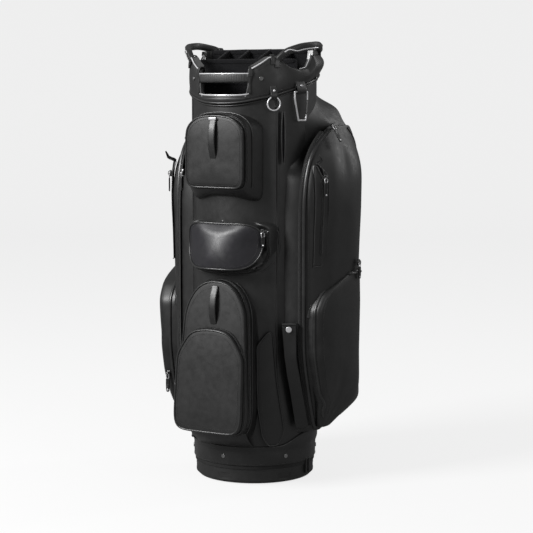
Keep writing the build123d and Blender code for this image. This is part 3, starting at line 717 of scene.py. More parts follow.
def front_opening():
    """Bright lip and rolled edges of the carry opening under the front grip."""
    low, high = box("front_handle")
    half = math.degrees(math.asin(high[0] / -low[1])) + 1.5
    floor = top_of("collar", 0, COVER_R + 1.5)
    angles = np.linspace(-half, half, 60)
    lip = np.array([around(a, COVER_R + 4.0, floor + 1.6 + 3 * (abs(a) / half) ** 6) for a in angles])
    piece("opening_lip", cord(lip, 1.6), "metal", smooth=0)
    edges = []
    for side in (1, -1):
        post = [around(side * (half + 0.8), COVER_R + 3, z) for z in np.linspace(floor + 3, high[2] + 1, 14)]
        edges.append(sweep(post, rounded(5.5, 9, 3), outward(side * half)))
    piece("opening_edges", edges, "piping")
    roll = np.array([around(a, COVER_R + 3.0, floor - 2.4) for a in angles])
    piece("opening_roll", cord(roll, 2.6), "piping", smooth=0)


def front_grip():
    """Ribbed, stitched grip with a bright line along its upper edge."""
    low, high = box("front_handle")
    radius = -(low[1] + 6.3) + 3.0
    half = math.degrees(math.asin(high[0] / -low[1])) + 2.6
    height = (low[2] + high[2]) / 2
    angles = np.linspace(-half, half, 150)
    path = np.array([around(a, radius, height) for a in angles])
    ribs = 1 + 0.045 * np.abs(np.sin(np.linspace(0, 24 * math.pi, len(path))))
    ribs[:10] = ribs[-10:] = 1.0
    grip = sweep(path, rounded(high[2] - low[2], 12.6, 3.4), radial(path), scale=ribs)
    piece("front_grip", grip, "grip", stands_for="front_handle")
    line = np.array([around(a, radius + 5.2, high[2] - 0.4) for a in angles])
    piece("front_grip_line", cord(line, 1.3), "metal", smooth=0)
    rows = []
    for z in (-5.4, 5.0):
        run = np.array([around(a, radius + 6.5, height + z) for a in angles[6:-6]])
        rows.append(stitches(run, radial(run), 3.4, 2.4))
    cuffs = [np.array([around(a, radius, height) for a in np.linspace(s * (half - 3), s * (half + 1.5), 8)])
             for s in (1, -1)]
    piece("front_grip_cuffs", [sweep(c, rounded(20.5, 14.5, 3.4), radial(c)) for c in cuffs], "leather")
    piece("front_grip_thread", rows, "thread", smooth=0)


def binned(node, keys, values, width):
    """Mean CAD vertex near each key value: the middle line of a swept node."""
    points = np.array([v.co for v in NODES[node].data.vertices]) / MM
    places = np.array([values(p) for p in points])
    line = []
    for key in keys:
        near = points[np.abs(places - key) < width]
        if len(near):
            line.append(near.mean(0))
    return np.array(line)


def compass(point):
    return math.degrees(math.atan2(point[0], -point[1]))


def side_handles():
    """Padded loops over the dips in the rim, with bright edging and a moulded end fitting."""
    middle = binned("side_handles", (58, 66, 74, 84, 94, 104, 111), compass, 5)
    middle[:, :2] += unit(middle[:, :2]) * 1.5
    start, end = around(50, COVER_R - 1, rim_height(50) - 5), around(117, COVER_R, rim_height(117) - 6)
    right = curve(np.concatenate([[start], middle, [end]]), 4)
    loops, edging, threads, fittings = [], [], [], []
    for side in (1, -1):
        path = mirrored(right, side)
        out = radial(path)
        loops.append(sweep(path, rounded(14.5, 13, 3), out))
        lift = 4.4 - 9.4 * smoothstep(np.abs([compass(p) for p in path]), 58, 68)
        edge = path + out * 6.4 + UP * lift[:, None]
        edging.append(cord(edge[5:int(len(edge) * 0.62)], 1.25))
        for lift in (-3.6, 3.8):
            threads.append(stitches((path + out * 6.55 + UP * lift)[3:-3], out[3:-3]))
        for angle in (50, 114):
            rim = rim_height(angle)
            loop = rim_loop(angle * side, rim, 11, 3.0, 3.4)
            fittings.append(loop)
    piece("side_handle_loops", loops, "leather", stands_for="side_handles")
    piece("side_handle_edging", edging, "metal", smooth=0)
    piece("side_handle_thread", threads, "thread", smooth=0)
    piece("side_handle_fittings", fittings, "plastic")


def rim_loop(angle, rim, width, thick, lift=2.4):
    """A short strap folded over the rim."""
    profile = ((COVER_R + 6.4, -17), (COVER_R + 6.2, -5), (COVER_R + 3, lift), (COVER_R - 3, lift + 1.0),
               (COVER_R - 8.6, lift - 1), (COVER_R - 9.6, -13))
    path = curve([around(angle, r, rim + z) for r, z in profile], 2.0)
    across = np.cross(UP, outward(angle))
    return sweep(path, rounded(width, thick, 5), unit(np.cross(tangents(path), across)))


def rim_trim():
    """Bright edging along the rim between leather keepers."""
    trims, keepers = [], []
    for side in (1, -1):
        run = [around(a * side, COVER_R + 4.4, rim_height(a) - 1.6) for a in np.linspace(28, 45, 24)]
        inner = [around(a * side, COVER_R - 7.2, rim_height(a) - 0.8) for a in np.linspace(28, 45, 24)]
        trims += [cord(run, 1.5), cord(inner, 1.0)]
        dip = [around(a * side, COVER_R - 2, top_of("collar", a, COVER_R + 1.5) + 2.6)
               for a in np.linspace(76, 100, 24)]
        trims.append(cord(dip, 1.0))
        keepers += [rim_loop(a * side, rim_height(a), 8, 2.2) for a in (27, 46)]
    piece("rim_trim", trims, "metal", smooth=0)
    piece("rim_keepers", keepers, "leather")


def skirt():
    """Leather band above the base, higher at the sides, with a stitched hem."""
    low, high = box("base_skirt")[0][2] + 13, box("base_skirt")[1][2]
    radius_low = box("base_skirt")[1][1]
    angles = np.arange(160) * 2.25

    def radius(angle, t, z):
        flare = smoothstep(z, high - 8, high + 6) * (COVER_R + 1.6 - radius_low)
        pucker = 0.5 * math.sin(math.radians(angle) * 9) * math.sin(math.pi * t)
        return radius_low + 0.4 + flare + 0.8 * math.sin(math.pi * t) + pucker

    def top(angle):
        return high + 3 + 22 * smoothstep(abs(signed(angle)), 50, 84)
    grid = polar_grid(angles, radius, lambda a: low, top, 14)
    hem = grid[:1].copy()
    hem[..., :2] *= 1 - 1.8 / radius_low
    piece("skirt_band", sheet(np.concatenate([hem, grid]), 2.2, closed=True), "leather",
          stands_for="base_skirt")
    run = np.array([around(a, radius_low + 1.1, low + 3.4) for a in angles])
    piece("skirt_thread", stitches(run, radial(run)), "thread", smooth=0)
    groove = np.array([around(a, radius_low - 2.6, low - 3.5) for a in angles])
    piece("skirt_groove_band", sweep(groove, rounded(8.5, 2.4, 5), radial(groove), closed=True), "rubber")
    ribs = []
    for angle in (90, -90):
        for shift in (-2.4, 2.4):
            post = [around(angle + shift, radius_low - 1.2, z) for z in np.linspace(12, low + 6, 10)]
            ribs.append(sweep(post, rounded(4.6, 6, 4), outward(angle)))
    piece("base_ribs", ribs, "base")


def dividers():
    """Padded rolls along the moulded grid, and fabric sleeves hanging from it."""
    rolls = []
    for low, high in islands("divider_grid"):
        middle = (low + high) / 2
        axis = 0 if high[0] - low[0] > high[1] - low[1] else 1
        ends = np.linspace(low[axis] + 0.5, high[axis] - 0.5, 12)
        path = []
        for place in ends:
            point = middle.copy()
            point[axis] = place
            top = hit("divider_grid", (point[0], point[1], 960), -UP)
            path.append((point[0], point[1], (high[2] if top is None else top[2]) - 3.5))
        rolls.append(sweep(path, rounded(7.2, 10, 2.6), UP))
    piece("divider_rolls", rolls, "lining")
    sleeves = []
    for number, (low, high) in enumerate(islands("divider_sleeves")):
        axis = 0 if high[0] - low[0] > high[1] - low[1] else 1
        count = max(int((high[axis] - low[axis]) / 8), 4)
        grid = np.zeros((40, count, 3))
        for i, z in enumerate(np.linspace(low[2], high[2], 40)):
            for j, place in enumerate(np.linspace(low[axis], high[axis], count)):
                edge = math.sin(math.pi * j / (count - 1))
                sway = 2.0 * math.sin(z / 47 + number * 1.7) * edge
                grid[i, j] = (place, (low[1] + high[1]) / 2 + sway, z) if axis == 0 else (
                    (low[0] + high[0]) / 2 + sway, place, z)
        sleeves.append(sheet(grid, 0.9, inside=(0, 0, 2000)))
    piece("divider_cloth", sleeves, "lining", stands_for="divider_sleeves", smooth=0)


# ---- front pockets ------------------------------------------------------------------------------
def tucked(points):
    """Keep every point out of the tube: what lies inside ends just under its cover."""
    points = np.array(points, float)
    reach = np.linalg.norm(points[..., :2], axis=-1, keepdims=True)
    points[..., :2] *= np.maximum(1.0, TUCK_R / np.maximum(reach, 1e-6))
    return points


RIM_ROW = 5                     # two outline rings, then three of the rounded edge, then the rim itself
ROUNDED_EDGE = ((1.0, 5.0), (0.999, 2.6), (0.992, 0.9), (0.978, 0.15))
FACE_SHARES = (0.95, 0.9, 0.8, 0.68, 0.54, 0.38, 0.22, 0.06)


class Pod:
    """A zipped pocket seen along its own facing: rings of its outline at set depths, and a crowned face."""

    def __init__(self, node, lean=0.0, count=120):
        low, high = box(node)
        self.ex = np.array((1.0, 0, 0))
        self.ez = unit((0, lean, 1.0))
        self.out = np.cross(self.ex, self.ez) * 1.0
        self.origin = np.array((0.0, low[1] + lean * (high[2] - low[2]) / 2, (low[2] + high[2]) / 2))
        self.count = count

    def ring(self, nodes, depth, smooth=10, before=None):
        centre = self.origin - self.out * depth
        turns = np.linspace(0, 2 * math.pi, self.count, endpoint=False)
        radii = np.full(self.count, np.nan)
        ways = [self.ex * math.cos(t) + self.ez * math.sin(t) for t in turns]
        for k, way in enumerate(ways):
            place = outermost(nodes, centre, way, 190)
            if place is not None:
                radii[k] = np.dot(place - centre, way)
        known = ~np.isnan(radii)
        places = np.arange(self.count)
        if before is None:
            radii = np.interp(places, places[known], radii[known], period=self.count)
        self.radii = radii if before is None else np.where(known, radii, before)
        points = np.array([centre + way * r for way, r in zip(ways, self.radii)])
        return soften(points, smooth, True)

    def walls(self, node, depths):
        """Rings going back to the tube; where the node has ended they go straight in."""
        rings = [self.ring(node, depths[0])]
        for depth in depths[1:]:
            rings.append(self.ring(node, depth, before=self.radii))
        return tucked(np.array(rings))

    def face(self, node, ring, crown):
        """Rounded edge and crowned front, laid on the node's own face inside an outline ring."""
        middle = ring.mean(0)
        flat = ring - middle
        flat = flat - np.outer(flat @ self.out, self.out)

        def lifts(share):
            found = [hit(node, middle + p * share + self.out * 80, -self.out) for p in flat]
            values = np.array([np.nan if f is None else np.dot(f - middle, self.out) for f in found])
            known = ~np.isnan(values)
            places = np.arange(self.count)
            values = np.interp(places, places[known], values[known], period=self.count)
            return soften(np.stack([values] * 3, 1), 3, True)[:, :1]
        edge = lifts(0.955)
        rows = [middle + flat * share + self.out * (edge - drop) for share, drop in ROUNDED_EDGE]
        for share in FACE_SHARES:
            rows.append(middle + flat * share + self.out * (lifts(share) + crown * (1 - share ** 2.4)))
        return rows

    def arch(self, ring, low):
        """The part of a ring above a height, as one open run over the top."""
        start = int(np.argmin(ring[:, 2]))
        run = np.roll(ring, -start, 0)
        return run[run[:, 2] > low]

    def facing(self, run):
        """Outward normals of a ring in its own plane."""
        return unit(run - run.mean(0) - np.outer((run - run.mean(0)) @ self.out, self.out))


def strap_loop(name, node, pod, body, bright):
    """Stitched leather handle sewn down at both ends, with a small bright keeper."""
    low, high = box(node)
    tilt = pod.ez
    top = np.array((0.0, 0, 0)) + pod.out * 0
    face = lambda z: pod.origin + tilt * ((z - pod.origin[2]) / tilt[2])
    stations = ((high[2] + 1, 1.2), (high[2] - 6, 2.6), (high[2] - 16, 6.5), (high[2] - 32, 9.4),
                (low[2] + 30, 9.8), (low[2] + 14, 7.0), (low[2] + 5, 3.2), (low[2] - 1, 1.4))
    path = curve([face(z) + pod.out * lift + top for z, lift in stations], 3)
    normal = unit(np.cross(pod.ex, tangents(path)))
    normal *= np.sign(normal @ pod.out)[:, None]
    piece(name, sweep(path, rounded(15, 3.0, 5), normal), "leather", body, stands_for=node)
    threads = [stitches(path + pod.ex * x + normal * 1.55, normal, 3.4, 2.4) for x in (-5.6, 5.6)]
    tack = [face(low[2] + 6) + pod.out * 3.4 + pod.ex * x for x in np.linspace(-5.6, 5.6, 8)]
    threads.append(stitches(tack, pod.out, 3.0, 2.2))
    piece(name + "_thread", threads, "thread", body, smooth=0)
    if bright:
        bar = [face(high[2] - 3) + pod.out * 5.2 + pod.ex * x for x in np.linspace(-8.6, 8.6, 12)]
        piece(name + "_keeper", sweep(bar, rounded(4.6, 1.6, 5), pod.out), "metal", body)


def valuables():
    pod = Pod("valuables_pocket")
    pod.origin[1] = box("valuables_lid")[0][1]
    depth = box("valuables_lid")[1][1] - pod.origin[1]
    lid = [pod.ring("valuables_lid", d) for d in (depth - 0.3, depth - 2.2)]
    inside = pod.origin - pod.out * 30
    skin = np.array(lid + pod.face("valuables_lid", lid[-1], 3.4))
    skin[RIM_ROW:] = puffed(skin[RIM_ROW:], closed=True, pressure=2.0, cap=1.6, inside=inside)
    piece("valuables_lid_skin", sheet(skin, 2.6, True, inside), "leather", "valuables_lid", "valuables_lid")
    piece("valuables_piping", cord(skin[RIM_ROW] + pod.out * 0.3, 1.9, True), "piping", "valuables_lid",
          smooth=0)
    line = skin[RIM_ROW + 2] + pod.out * 0.25
    piece("valuables_thread", stitches(np.concatenate([line, line[:1]]), pod.out), "thread", "valuables_lid",
          smooth=0)
    depths = (depth + 0.5, depth + 3, depth + 8, depth + 16, depth + 26, depth + 36, depth + 46)
    walls = pod.walls("valuables_pocket", depths)
    walls[1:-1] += pod.facing(walls[0])[None] * np.sin(np.linspace(0, math.pi, 5))[:, None, None] * 1.2
    piece("valuables_walls", sheet(walls, 2.4, True, inside), "leather", stands_for="valuables_pocket")
    hinge = joint("valuables_lid_hinge")[0][2]
    seam = soften(walls[1], 1, True)
    arch = pod.arch(seam, hinge + 16)
    zip_run("valuables_zip", arch + arch_lift(arch, seam, 1.2),
            arch_lift(arch, seam, 1.0), tape=9.0)
    back = pod.arch(walls[3], hinge + 2)
    piece("valuables_back_piping", cord(back + arch_lift(back, walls[3], 0.8), 1.5), "piping", smooth=0)
    strap_loop("valuables_strap", "valuables_loop", pod, "valuables_lid", True)


def arch_lift(run, ring, amount):
    """Offsets that carry a run of a ring straight out from the ring's middle line, normal to the run."""
    along = tangents(run)
    out = unit(np.cross(along, (0, -1.0, 0)))
    out *= np.sign(np.sum(out * (run - ring.mean(0)), axis=1))[:, None]
    return out * amount


def slope(node):
    """Lean of a node's face, from two places on it."""
    low, high = box(node)
    places = [hit(node, (0, low[1] - 50, z), (0, 1, 0)) for z in (low[2] + 20, high[2] - 40)]
    return (places[1][1] - places[0][1]) / (places[1][2] - places[0][2])


def ball_pocket():
    pod = Pod("ball_lid", slope("ball_lid"))
    face = hit("ball_lid", (0, pod.origin[1] - 60, pod.origin[2]), (0, 1, 0))
    pod.origin = np.array((0, face[1], pod.origin[2]))
    inside = pod.origin - pod.out * 40
    depth = joint_depth(pod, "ball_pocket")
    lid = [pod.ring("ball_lid", d) for d in (depth - 1.0, depth - 3.5)]
    skin = np.array(lid + pod.face("ball_lid", lid[-1], 2.4))
    piece("ball_lid_skin", sheet(skin, 2.6, True, inside), "leather", "ball_lid", "ball_lid")
    piece("ball_lid_piping", cord(skin[RIM_ROW] + pod.out * 0.3, 1.7, True), "piping", "ball_lid", smooth=0)
    line = pod.arch(skin[RIM_ROW + 2], box("ball_lid")[0][2] + 6) + pod.out * 0.2
    piece("ball_lid_thread", stitches(line, pod.out), "thread", "ball_lid", smooth=0)
    depths = (depth + 0.6, depth + 4, depth + 10, depth + 20, depth + 32, depth + 44, depth + 56)
    walls = pod.walls("ball_pocket", depths)
    piece("ball_walls", sheet(walls, 2.4, True, inside), "leather", stands_for="ball_pocket")
    hinge = joint("ball_lid_hinge")[0][2]
    arch = pod.arch(walls[1], hinge + 14)
    lift = arch_lift(arch, walls[1], 1.0)
    zip_run("ball_zip", arch + lift * 1.2, lift, tape=9.0)
    back = pod.arch(walls[3], hinge + 2)
    piece("ball_back_piping", cord(back + arch_lift(back, walls[3], 0.6), 1.5), "piping", smooth=0)
    strap_loop("ball_strap", "ball_loop", pod, "ball_lid", False)
    front_panel(pod)
    apron(walls[0])


def joint_depth(pod, node):
    """How far behind the pod's face a node begins."""
    for depth in np.arange(4, 30, 0.5):
        if outermost(node, pod.origin - pod.out * depth, pod.ex, 190) is not None:
            return depth
    return 12.0


def front_panel(pod):
    """Padded zip-off panel, plain where a club's mark would go."""
    own = Pod("front_panel", slope("front_panel"))
    low, high = box("front_panel")
    middle = (low[2] + high[2]) / 2
    own.origin = pod.origin + pod.ez * ((middle - pod.origin[2]) / pod.ez[2])
    face = hit("front_panel", own.origin + own.out * 60, -own.out)
    stand = np.dot(face - own.origin, own.out)
    own.origin = own.origin + own.out * stand
    inside = own.origin - own.out * 40
    rings = [own.ring("front_panel", d) for d in (stand - 0.6, stand * 0.5)]
    skin = np.array(rings + own.face("front_panel", rings[-1], 3.0))
    skin[RIM_ROW:] = puffed(skin[RIM_ROW:], closed=True, pressure=2.5, cap=2.2, inside=inside)
    piece("front_panel_skin", sheet(skin, 2.6, True, inside), "leather", "front_panel", "front_panel")
    piece("front_panel_piping", cord(skin[RIM_ROW] + own.out * 0.4, 1.9, True), "piping", "front_panel",
          smooth=0)
    hem = own.arch(rings[0], box("front_panel")[0][2] + 8)
    lift = arch_lift(hem, rings[0], 1.0)
    zip_run("front_panel_zip", hem + lift * 0.9 + own.out * 1.5, lift, "front_panel", tape=7.0)
    foot = own.ring("front_panel", stand - 0.6)
    piece("front_panel_foot", cord(foot + own.facing(foot) * 1.2, 1.6, True), "piping", "front_panel",
          smooth=0)
    line = skin[RIM_ROW + 2] + own.out * 0.3
    piece("front_panel_thread", stitches(np.concatenate([line, line[:1]]), own.out), "thread", "front_panel",
          smooth=0)


def apron(ring):
    """Leather that slopes from under the ball pocket in to the skirt."""
    low = ring[:, 2].min()
    half = np.abs(ring[ring[:, 2] < low + 12][:, 0]).max() - 4
    depth = -ring[np.argmin(ring[:, 2])][1]
    skirt = box("base_skirt")[1][2]
    columns = np.linspace(-1, 1, 40)
    grid = np.zeros((10, len(columns), 3))
    for j, u in enumerate(columns):
        x = u * half
        start = np.array((x, -depth + 4 + 10 * abs(u) ** 3, low + 1.5))
        angle = math.degrees(math.asin(min(abs(x) * 0.93 / COVER_R, 1))) * np.sign(x)
        end = around(angle, COVER_R + 2.2, skirt + 4 - 2 * abs(u))
        for i, t in enumerate(np.linspace(0, 1, 10)):
            sag = 2.4 * math.sin(math.pi * t)
            grid[i, j] = start + (end - start) * t + np.array((0, -sag, -sag * 0.5))
    piece("ball_apron", sheet(grid, 2.2, inside=(0, 0, 200)), "leather")


def rangefinder():
    """Pouch with a domed flap, its U-shaped edge piped, zipped and stitched."""
    low, high = box("rangefinder_flap")
    centre = np.array((0.0, 0.0, low[2] + (high[2] - low[2]) * 0.66))
    count = 120
    turns = np.linspace(0, 2 * math.pi, count, endpoint=False)
    reach = np.zeros(count)
    for k, turn in enumerate(turns):
        for r in np.arange(10, 130, 1.0):
            place = (centre[0] + r * math.cos(turn), -300, centre[2] + r * math.sin(turn))
            if hit("rangefinder_flap", place, (0, 1, 0)) is None:
                break
            reach[k] = r
    reach = soften(np.stack([reach, reach, reach], 1), 6, True)[:, 0]

    def surface(nodes, share, extra=0.0):
        ring = []
        for turn, r in zip(turns, reach):
            r = r * share + extra
            x, z = r * math.cos(turn), centre[2] + r * math.sin(turn)
            place = hit(nodes, (x, -300, z), (0, 1, 0))
            tube = -math.sqrt(max(TUCK_R ** 2 - x * x, 1.0))
            y = tube if place is None else min(place[1], tube)
            ring.append((x, y, z))
        return np.array(ring)
    shares = (0.04, 0.18, 0.34, 0.5, 0.64, 0.76, 0.86, 0.93, 0.975)
    inside = (0, -90, centre[2])
    flap = np.array([surface("rangefinder_flap", s) for s in shares])
    flap = soften_grid(flap, 14)
    flap[..., 1] -= 2.4 * (1 - np.array(shares)[:, None] ** 2)
    x, z = flap[..., 0], flap[..., 2] - centre[2]
    terms = np.stack([x * 0 + 1, x, z, x * x, x * z, z * z], -1)
    weights = np.linalg.lstsq(terms[2:5].reshape(-1, 6), flap[2:5, :, 1].reshape(-1), rcond=None)[0]
    share = np.array((1.0, 1.0, 0.6, 0.3))[:, None]
    flap[:4, :, 1] += share * (terms[:4] @ weights - flap[:4, :, 1])
    flap = puffed(flap[::-1], closed=True, pressure=2.5, cap=2.0, inside=inside)
    hem = flap[0] + np.array((0, 2.6, 0))
    skin = np.concatenate([[hem], flap])
    piece("rangefinder_flap_skin", sheet(skin, 2.4, True, inside), "flap", "rangefinder_flap",
          "rangefinder_flap")
    edge = flap[0] + np.array((0, -0.2, 0))
    piece("rangefinder_flap_piping", cord(edge, 1.9, True), "piping", "rangefinder_flap", smooth=0)
    line = flap[1] - np.array((0, 0.5, 0))
    piece("rangefinder_flap_thread", stitches(line, (0, -1.0, 0)), "thread", "rangefinder_flap", smooth=0)
    both = ("rangefinder_pocket", "rangefinder_flap")
    rows = [surface("rangefinder_pocket", s) for s in (0.1, 0.35, 0.6, 0.8, 0.93)]
    rows += [surface(both, 1.0, extra) for extra in (0.5, 3, 6, 9, 12, 15.5, 19)]
    body = soften_grid(np.array(rows), 2)
    body[5:10, :, 1] -= np.array((0.6, 1.6, 2.0, 1.6, 0.8))[:, None]
    piece("rangefinder_body", sheet(body, 2.2, True, inside), "leather", stands_for="rangefinder_pocket")
    for row, name in ((6, "rangefinder_zip"), (9, "rangefinder_piping")):
        ring = body[row]
        below = np.roll(ring, -int(count * 0.08) - 1, 0)
        run = below[below[:, 2] < high[2] - 12]
        start = np.argmax(np.linalg.norm(np.diff(run, axis=0), axis=1)) + 1
        run = np.roll(run, -start, 0)
        normal = unit(run - np.array((0, -60, centre[2])))
        if row == 6:
            zip_run(name, run + normal * 0.6, normal, tape=8.0)
        else:
            piece(name, cord(run + normal * 0.8, 2.2), "piping", smooth=0)


def soften_grid(grid, times):
    """Smooth rows around and columns across, leaving the outer rows where they are."""
    grid = np.array(grid, float)
    for _ in range(times):
        grid = soften(grid, 1)
        grid = np.swapaxes(soften(np.swapaxes(grid, 0, 1), 1, True), 0, 1)
    return grid


# ---- side pockets -------------------------------------------------------------------------------
class SidePlane:
    """The upright plane of the right-hand side pocket's zip, read from its hinge and lid."""

    def __init__(self, side=1):
        hinge = joint("garment_hinge_right")[0]
        low = box("garment_lid_right")[0]
        flip = np.array((side, 1.0, 1.0))
        self.front = np.array((low[0], low[1], 0.0)) * flip
        self.along = unit(np.array((hinge[0], hinge[1], 0.0)) * flip - self.front)
        self.out = np.array((self.along[1], -self.along[0], 0.0)) * side

    def at(self, s, z, lift=0.0):
        return self.front + self.along * s + self.out * lift + UP * z

    def edges(self, node, z, lift):
        """Where a node starts and ends along the plane at one height."""
        first = hit(node, self.at(-80, z, lift), self.along, 400)
        last = hit(node, self.at(280, z, lift), -self.along, 400)
        if first is None or last is None:
            return None
        return np.dot(first - self.front, self.along), np.dot(last - self.front, self.along)

    def section(self, node, z, lift, depth, count):
        """Outer surface at one height, from the front edge round to the rear one."""
        edges = self.edges(node, z, lift)
        if edges is None:
            return None
        first, last = edges
        centre = self.at((first + last) / 2, z, lift)
        half = (last - first) / 2
        points = []
        for turn in np.linspace(0, math.pi, count):
            way = -math.cos(turn) * half * self.along + math.sin(turn) * depth * self.out
            place = outermost(node, centre, way, 150)
            points.append(centre + way if place is None else place)
        return np.array(points)

    def proud(self, node, z, count):
        """A layer standing on the lid, at one height; its edges are sunk into the lid."""
        for lift in PROUD_LIFTS:
            edges = self.edges(node, z, lift)
            if edges is not None and edges[1] - edges[0] > 25:
                break
        else:
            return None
        centre = self.at((edges[0] + edges[1]) / 2, z, 4.0)
        half = (edges[1] - edges[0]) / 2
        row = np.full((count, 3), np.nan)
        for k, turn in enumerate(np.linspace(0, math.pi, count)):
            way = -math.cos(turn) * half * self.along + math.sin(turn) * lift * 1.4 * self.out
            place = outermost(node, centre, way, 150)
            if place is not None:
                row[k] = place
        row[0], row[-1] = centre - half * self.along, centre + half * self.along
        known = ~np.isnan(row[:, 0])
        places = np.arange(count)
        return np.stack([np.interp(places, places[known], row[known, i]) for i in range(3)], 1)


PROUD_LIFTS = (34, 28, 23, 18, 14, 10)


def levels_between(low, high, count):
    """Heights spaced closer at both ends."""
    t = np.linspace(0, 1, count)
    eased = 0.5 - 0.5 * np.cos(math.pi * t)
    return low + (high - low) * (0.55 * t + 0.45 * eased)


def garment_lid(plane):
    """Padded lid of the side pocket, right side, as a grid of heights by places around it."""
    low, high = box("garment_lid_right")
    rows = []
    for z in levels_between(low[2] + 0.8, high[2] - 0.8, 60):
        rows.append(plane.section("garment_lid_right", z, 0.9, 46, 44))
    grid = soften(np.array(rows), 6)
    across = soften(np.swapaxes(grid, 0, 1), 3)
    grid = np.swapaxes(across, 0, 1)
    return puffed(grid, pressure=2.2, cap=4.5, inside=(150, 30, 400))


def garment_sides(plane):
    lid = garment_lid(plane)
    for name, side in SIDES.items():
        body = "garment_lid_" + name
        inside = (150 * side, 30, 400)
        skin = mirrored(lid, side)
        piece(f"garment_lid_skin_{name}", sheet(skin, 2.6, inside=inside), "side", body, body)
        front = soften(lid[:, 1], 4)
        tube = mirrored(front + plane.out * 1.2 - plane.along * 1.4, side)
        piece(f"garment_piping_{name}", sweep(tube[1:-1], rounded(8.6, 7.4, 2.4)), "piping", body)
        rear = mirrored(soften(lid[:, -2], 4) + plane.along * 0.8, side)
        piece(f"garment_rear_piping_{name}", cord(rear[1:-1], 2.0), "piping", body, smooth=0)
        line = soften(lid[:, 4], 4)[4:-6]
        flow = unit(plane.out - plane.along * 0.9) * np.array((side, 1, 1))
        piece(f"garment_thread_{name}", stitches(mirrored(line, side) + flow * 0.4, flow), "thread", body,
              smooth=0)
        track = soften(lid[:, 0], 6)[2:-2] - plane.along * 4.2 + plane.out * 0.4
        facing = unit(plane.out * 0.55 - plane.along * 0.84)
        stands = "zip_chains" if side > 0 else ()
        zip_run(f"garment_zip_{name}", mirrored(track, side), facing * np.array((side, 1, 1)),
                stands_for=stands, tape=11.0)
        gusset(plane, name, side)
        slit_pocket(plane, name, side)
        side_pocket(plane, name, side)


def gusset(plane, name, side):
    """Fixed shell of the side pocket: front and rear walls and shoulder, open behind the lid."""
    node = "garment_pocket_right"
    low, high = box(node)
    lid_low, lid_high = box("garment_lid_right")
    heights = levels_between(low[2] + 1, high[2] - 1, 64)
    grid = []
    for z in heights:
        first_s, last_s, lift = outer_edges(plane, node, z)
        corner = plane.at(first_s, z, lift)
        rear = plane.at(last_s, z, lift)
        seam = tube_seam(node, z)
        tail = tube_tail(node, z)
        front_wall = [seam + (corner - seam) * t + front_bulge(seam, corner, t)
                      for t in np.linspace(0, 1, 12)]
        if z > lid_high[2] - 6:
            centre = plane.at((first_s + last_s) / 2, z, -60)
            middle = []
            for t in np.linspace(0, 1, 18)[1:-1]:
                aim = corner + (rear - corner) * t
                place = outermost(node, centre, aim - centre, 160)
                middle.append(aim if place is None else place)
        else:
            middle = [corner + (rear - corner) * t for t in np.linspace(0, 1, 18)[1:-1]]
        back_wall = [rear + (tail - rear) * t + np.array((0, 7.0, 0)) * math.sin(math.pi * t) for t in
                     np.linspace(0, 1, 12)]
        grid.append(front_wall + middle + back_wall)
    grid = soften(np.array(grid), 3)
    reach = np.linalg.norm(grid[..., :2], axis=-1, keepdims=True)
    melt = smoothstep(grid[..., 2:3], high[2] - 34, high[2]) * (reach - TUCK_R) / reach
    grid[..., :2] *= 1 - np.maximum(melt, 0)
    grid = tucked(grid)
    mouth = (heights[:-1] > lid_low[2] + 18) & (heights[1:] < lid_high[2] - 2)
    keep = np.ones((len(heights) - 1, grid.shape[1] - 1), bool)
    keep[mouth, 12:27] = False
    inside = np.array((118 * side, 30, 440))
    piece(f"garment_pocket_walls_{name}", sheet(mirrored(grid, side), 2.4, inside=inside, keep=keep), "side",
          stands_for="garment_pocket_" + name)
    lining = mirrored(tucked(grid[:, 12:28] - plane.out * 3.0), side)
    back = lining.copy()
    for row in back:
        row[:, :2] = row[:, :2] * (COVER_R + 1.6) / np.linalg.norm(row[:, :2], axis=1)[:, None]
    piece(f"garment_lining_{name}", sheet(back[8:-8], 1.0, inside=(0, 0, 440)), "lining", smooth=0)


def outer_edges(plane, node, z):
    """Front and rear corners of the gusset at one height, and how far in from the zip plane they lie."""
    for lift in np.arange(-1.5, -60, -1.5):
        edges = plane.edges(node, z, lift)
        if edges is not None:
            return edges[0], edges[1], lift + 1.5
    return 0.0, 150.0, -40.0


def tube_seam(node, z):
    """Where the front wall of the side pocket meets the tube."""
    best = None
    for angle in np.arange(44, 84, 1.0):
        place = hit(node, around(angle, 260, z), -outward(angle), 260 - COVER_R + 1.0)
        if place is not None:
            best = angle
            break
    angle = SEAM_ANGLE if best is None else best
    return around(angle, COVER_R - 2.5, z)


def tube_tail(node, z):
    """Where the rear wall meets the back of the tube."""
    for angle in np.arange(172, 120, -1.0):
        place = hit(node, around(angle, 260, z), -outward(angle), 260 - COVER_R + 1.0)
        if place is not None:
            return around(angle, COVER_R - 2.5, z)
    return around(146, COVER_R - 2.5, z)


def front_bulge(seam, corner, t):
    flow = corner - seam
    out = unit(np.array((flow[1], -flow[0], 0.0)))
    return out * 2.6 * math.sin(math.pi * t)


